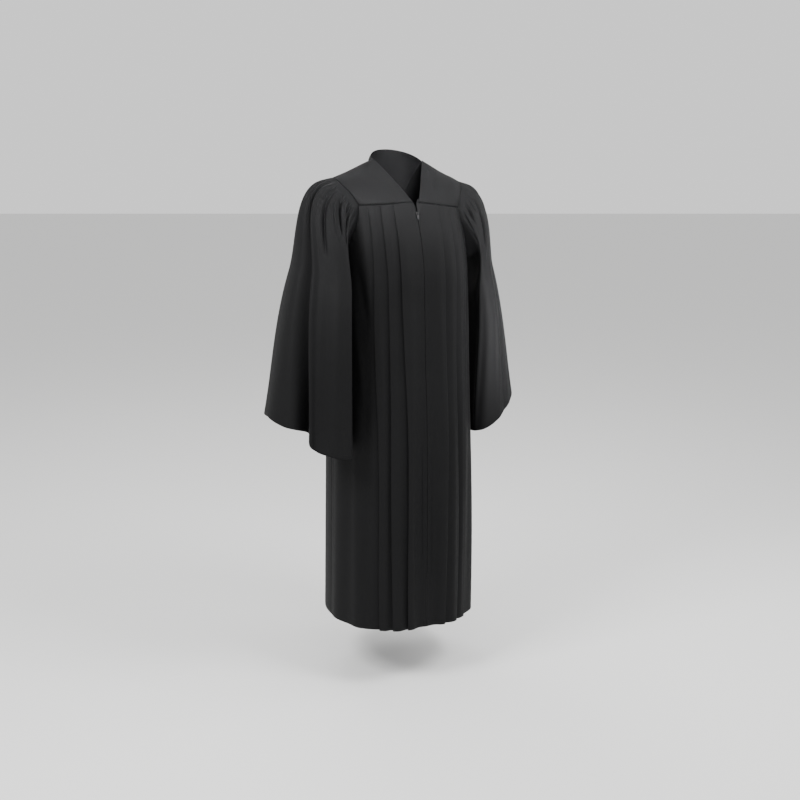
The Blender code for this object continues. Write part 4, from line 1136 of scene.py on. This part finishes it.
def sleeve_surface(side, shares, angles, start):
    """The sleeve before its folds: smooth lines from the armhole over the cap and through two rings."""
    names = column(LEAVE, "angle")
    out, forward, down, width = (smooth_curve(names, column(LEAVE, name), angles)
                                 for name in ("out", "forward", "down", "width"))
    leave = np.stack((out, -forward, -down), axis=-1)
    leave /= np.linalg.norm(leave, axis=-1, keepdims=True)
    width = (width * CAP_SHARE[side])[:, None]
    stations = np.stack((start, start + leave * width,
                         ring_points(RINGS[side][0], turned(angles, TURNED_AT_ELBOW), "elbow"),
                         ring_points(RINGS[side][1], turned(angles, 1.0), side)))
    steps = np.linalg.norm(np.diff(stations, axis=0), axis=-1)
    knots = np.concatenate((np.zeros((1, len(angles))), np.cumsum(steps, axis=0)))
    knots /= knots[-1]
    rows = np.empty((len(shares), len(angles), 3))
    for k in range(len(angles)):
        own = knots[:, k]
        values = stations[:, k]
        slopes = np.gradient(values, own, axis=0)
        slopes[0] = leave[k] * width[k] / own[1]
        slopes[1] = CAP_BEND * slopes[0] + (1.0 - CAP_BEND) * slopes[1]
        part = np.clip(np.searchsorted(own, shares, side="right") - 1, 0, 2)
        span = (own[part + 1] - own[part])[:, None]
        u = (shares[:, None] - own[part][:, None]) / span
        rows[:, k] = ((1 + 2 * u) * (1 - u) ** 2 * values[part] + u * (1 - u) ** 2 * span * slopes[part]
                      + u * u * (3 - 2 * u) * values[part + 1] - u * u * (1 - u) * span * slopes[part + 1])
    return rows


def angle_between(first, second):
    """Signed difference of two angles."""
    return (first - second + 180.0) % 360.0 - 180.0


def fold_depth(side, shares, angles):
    """How far the sleeve's folds sink in."""
    grow = np.clip(shares / ROLL_END, 0.0, 1.0)[:, None] ** 2
    total = np.zeros((len(shares), len(angles)))
    for fold in FOLDS[side]:
        depth = smooth_curve((0.0, 0.45, 1.0), (fold.at_cap, fold.halfway, fold.at_hem), shares)[:, None]
        middle = fold.angle + smooth_curve((0.0, 0.35, 1.0), (0.0, fold.elbow_drift, fold.hem_drift), shares)
        aside = angle_between(angles[None, :], middle[:, None]) / fold.spread
        total += depth * grow * np.exp(-aside ** 2)
    for fold in PUCKERS_AT_CAP[side] + SWELLS[side]:
        along = (shares - fold.share) / (fold.low_share - fold.share)
        middle = fold.angle + angle_between(fold.low_angle, fold.angle) * np.clip(along, 0.0, 1.0) ** 0.8
        ends = np.sin(np.pi * np.clip(along, 0.0, 1.0)) ** 0.8
        aside = angle_between(angles[None, :], middle[:, None]) / fold.width
        total += fold.depth * ends[:, None] * np.exp(-aside ** 2)
    return total


# The cap's edge under the panel's and round out of the seam: how far away from the panel, and how far below it
CapTuck = namedtuple("CapTuck", "away below")
CAP_TUCKS = (CapTuck(-0.0030, 0.0024), CapTuck(0.0002, 0.0020), CapTuck(0.0012, 0.0006))
loop, loop_away, loop_lift, loop_angles = armhole_loop()
# The closing line of the grid lies at the underarm seam
start = int(np.argmin(np.abs(loop_angles - 180.0)))
loop, loop_away, loop_lift, loop_angles = (np.roll(part, -start, axis=0)
                                           for part in (loop, loop_away, loop_lift, loop_angles))
share_rows = np.linspace(0.0, 1.0, SLEEVE_ROWS) ** 1.35
for side in ("right", "left"):
    first = loop + loop_away * ARMHOLE_GAP + loop_lift * ARMHOLE_LIFT
    rows = sleeve_surface(side, share_rows, loop_angles, first)
    down = np.gradient(rows, axis=0)
    across = np.roll(rows, -1, axis=1) - np.roll(rows, 1, axis=1)
    inward = np.cross(down, across)
    inward /= np.linalg.norm(inward, axis=-1, keepdims=True)
    rows = rows + inward * fold_depth(side, share_rows, loop_angles)[..., None]
    tucked = [loop + loop_away * tuck.away - loop_lift * tuck.below for tuck in CAP_TUCKS]
    grid = np.concatenate((np.array(tucked), rows[1:]))
    grid = np.concatenate((grid, grid[:, :1]), axis=1)
    out = out_of_cloth(grid, 0.30)
    out[:, -1] = out[:, 0]
    sew(grid[-SLEEVE_HEM_ROWS] * MIRROR[side], out[-SLEEVE_HEM_ROWS] * MIRROR[side])
    grid = turned_hem(grid, out, SLEEVE_HEM_ROWS) * MIRROR[side]
    panel = cloth_piece("sleeve_panel_" + side, grid, closed=True)
    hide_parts("sleeve_" + side)
    cut_area(grid)


# Zip: two woven tapes stitched behind the fronts' edges, with a black nylon coil between them that is closed
# from the slider down. The slider and its pull tab are cast metal with a black enamel.
TAPE_EDGE = 0.0022
TAPE_WIDTH = 0.013
TAPE_BEHIND = 0.0021
TAPE_TOP_Z = -0.1240
ZIP_BOTTOM_Z = -1.200
TAPE_BOTTOM_Z = -1.210
SLIDER_Z = -0.1395
SLIDER_HALF_LENGTH = 0.0045
COIL_PITCH = 0.0013
COIL_BEHIND = 0.0020
COIL_HALF_REACH = 0.00155
COIL_RADIUS = 0.00042
COIL_STAGGER = 0.0004
COIL_SLANT = 0.16
TAPE_WALL = 0.0006
TAPE_BLACK = (0.0045, 0.0045, 0.0050, 1.0)
TAPE_WORN = (0.0068, 0.0068, 0.0073, 1.0)
TAPE_ROUGHNESS = 0.66
TAPE_THREADS_PER_METRE = 900.0
TAPE_THREAD_DEPTH = 0.00014
COIL_BLACK = (0.0050, 0.0050, 0.0054, 1.0)
COIL_WORN = (0.0085, 0.0085, 0.0090, 1.0)
ENAMEL_BLACK = (0.008, 0.008, 0.009, 1.0)
ENAMEL_WORN = (0.022, 0.022, 0.023, 1.0)
ENAMEL_ROUGHNESS = 0.42
ENAMEL_GRAIN_DEPTH = 0.00003

zip_tape = woven_cloth("zip_tape", TAPE_BLACK, TAPE_WORN, TAPE_ROUGHNESS, TAPE_THREADS_PER_METRE,
                       TAPE_THREAD_DEPTH, 0.0)
for side in ("right", "left"):
    rows = []
    for z in np.linspace(TAPE_TOP_Z, TAPE_BOTTOM_Z, 120):
        outline = Outline(z)
        rows.append(outline.points(np.linspace(TAPE_EDGE, TAPE_EDGE + TAPE_WIDTH, 6), -TAPE_BEHIND, z, 1.0))
    grid = np.array(rows) * MIRROR[side]
    tape = cloth_piece("zip_tape_band_" + side, grid, wall=TAPE_WALL, material=zip_tape)
    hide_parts("zip_tape_" + side)



def speckled(name, black, worn, scale, detail):
    """A material whose colour varies finely between two, and the value that it varies by."""
    paint = Shading(name)
    place = paint.node("ShaderNodeTexCoord", out=3)
    specks = paint.node("ShaderNodeTexNoise", None, {"Vector": place, "Scale": scale, "Detail": detail})
    colour = paint.node("ShaderNodeMix", {"data_type": "RGBA"}, {0: specks, 6: black, 7: worn}, out=2)
    paint.feed("Base Color", colour)
    return paint, place, specks


coil_black = speckled("coil_nylon", COIL_BLACK, COIL_WORN, 60.0, 2.0)[0]
coil_black.fixed(Roughness=0.38, Specular_IOR_Level=0.4)
centre_heights = np.arange(SLIDER_Z - SLIDER_HALF_LENGTH, ZIP_BOTTOM_Z, -COIL_PITCH)


def repeated(name, seed, places, material):
    """One piece with a copy of a small round shape at every place."""
    for face in seed.faces:
        face.smooth = True
    seed_mesh = bpy.data.meshes.new(name + "_seed")
    seed.to_mesh(seed_mesh)
    seed.free()
    whole = bmesh.new()
    for place in places:
        copy = seed_mesh.copy()
        copy.transform(place)
        whole.from_mesh(copy)
        bpy.data.meshes.remove(copy)
    bpy.data.meshes.remove(seed_mesh)
    mesh = bpy.data.meshes.new(name)
    whole.to_mesh(mesh)
    whole.free()
    mesh.materials.append(material)
    piece = bpy.data.objects.new(name, mesh)
    SCENE.collection.objects.link(piece)
    return piece


def placed(place, along, normal, shift=0.0):
    """The matrix of a shape whose length runs along a line on the cloth, lifted from the cloth by a shift."""
    along = Vector(along).normalized()
    normal = Vector(normal)
    normal = (normal - along * normal.dot(along)).normalized()
    turn = Matrix((along, normal.cross(along), normal)).transposed().to_4x4()
    return Matrix.Translation(Vector(place) + normal * shift) @ turn


centre_line = tilted(np.array([Outline(z).points(0.0, -COIL_BEHIND, z, 1.0) for z in centre_heights]))
places = []
for number, place in enumerate(centre_line):
    way = 1.0 if number % 2 else -1.0
    slant = (1.0, 0.0, way * COIL_SLANT)
    places.append(placed(place + (way * COIL_STAGGER, 0.0, 0.0), slant, (0.0, -1.0, 0.0)))
turn_of_coil = bmesh.new()
bmesh.ops.create_icosphere(turn_of_coil, subdivisions=1, radius=1.0,
                           matrix=Matrix.Diagonal((COIL_HALF_REACH, COIL_RADIUS, COIL_RADIUS * 1.5, 1.0)))
zip_coil = repeated("zip_coil", turn_of_coil, places, coil_black.material)
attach(zip_coil, "gown")
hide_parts("zip_chain")

black_enamel, place, enamel_wear = speckled("zip_metal", ENAMEL_BLACK, ENAMEL_WORN, 420.0, 3.0)
enamel_grain = black_enamel.node("ShaderNodeTexNoise", None, {"Vector": place, "Scale": 900.0, "Detail": 2.0})
enamel_bump = {"Height": enamel_grain * ENAMEL_GRAIN_DEPTH, "Distance": 1.0}
black_enamel.feed("Roughness", enamel_wear * 0.2 + ENAMEL_ROUGHNESS)
black_enamel.feed("Normal", black_enamel.node("ShaderNodeBump", None, enamel_bump))
black_enamel.fixed(Specular_IOR_Level=0.16)
for name in ("zip_slider", "zip_pull"):
    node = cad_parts[name]
    node.data.materials.clear()
    node.data.materials.append(black_enamel.material)


# Stitches: lockstitch rows along both sides of the zip, round the hem and round both sleeves' hems.
THREAD_BLACK = (0.0044, 0.0044, 0.0047, 1.0)
THREAD_WORN = (0.0070, 0.0070, 0.0074, 1.0)
THREAD_ROUGHNESS = 0.35
thread, _, thread_twist = speckled("sewing_thread", THREAD_BLACK, THREAD_WORN, 1400.0, 1.0)
thread.feed("Roughness", thread_twist * 0.2 + THREAD_ROUGHNESS)
thread.fixed(Specular_IOR_Level=0.12)
places = []
for line, out, offset in seams:
    lengths = np.concatenate(([0.0], np.cumsum(np.linalg.norm(np.diff(line, axis=0), axis=-1))))
    at = np.arange(0.5 * STITCH_PITCH, lengths[-1], STITCH_PITCH)
    middle, ahead, lift = (np.stack([np.interp(at + step, lengths, values[:, k]) for k in range(3)], axis=-1)
                           for step, values in ((0.0, line), (0.001, line), (0.0, out)))
    places += [placed(place, following - place, normal, offset)
               for place, following, normal in zip(middle, ahead, lift)]
stitch = bmesh.new()
bmesh.ops.create_icosphere(
    stitch, subdivisions=1, radius=1.0,
    matrix=Matrix.Diagonal((0.5 * STITCH_LENGTH, STITCH_HALF_WIDTH, STITCH_HALF_WIDTH * 0.7, 1.0)))
stitches = repeated("stitches", stitch, places, thread.material)
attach(stitches, "gown")
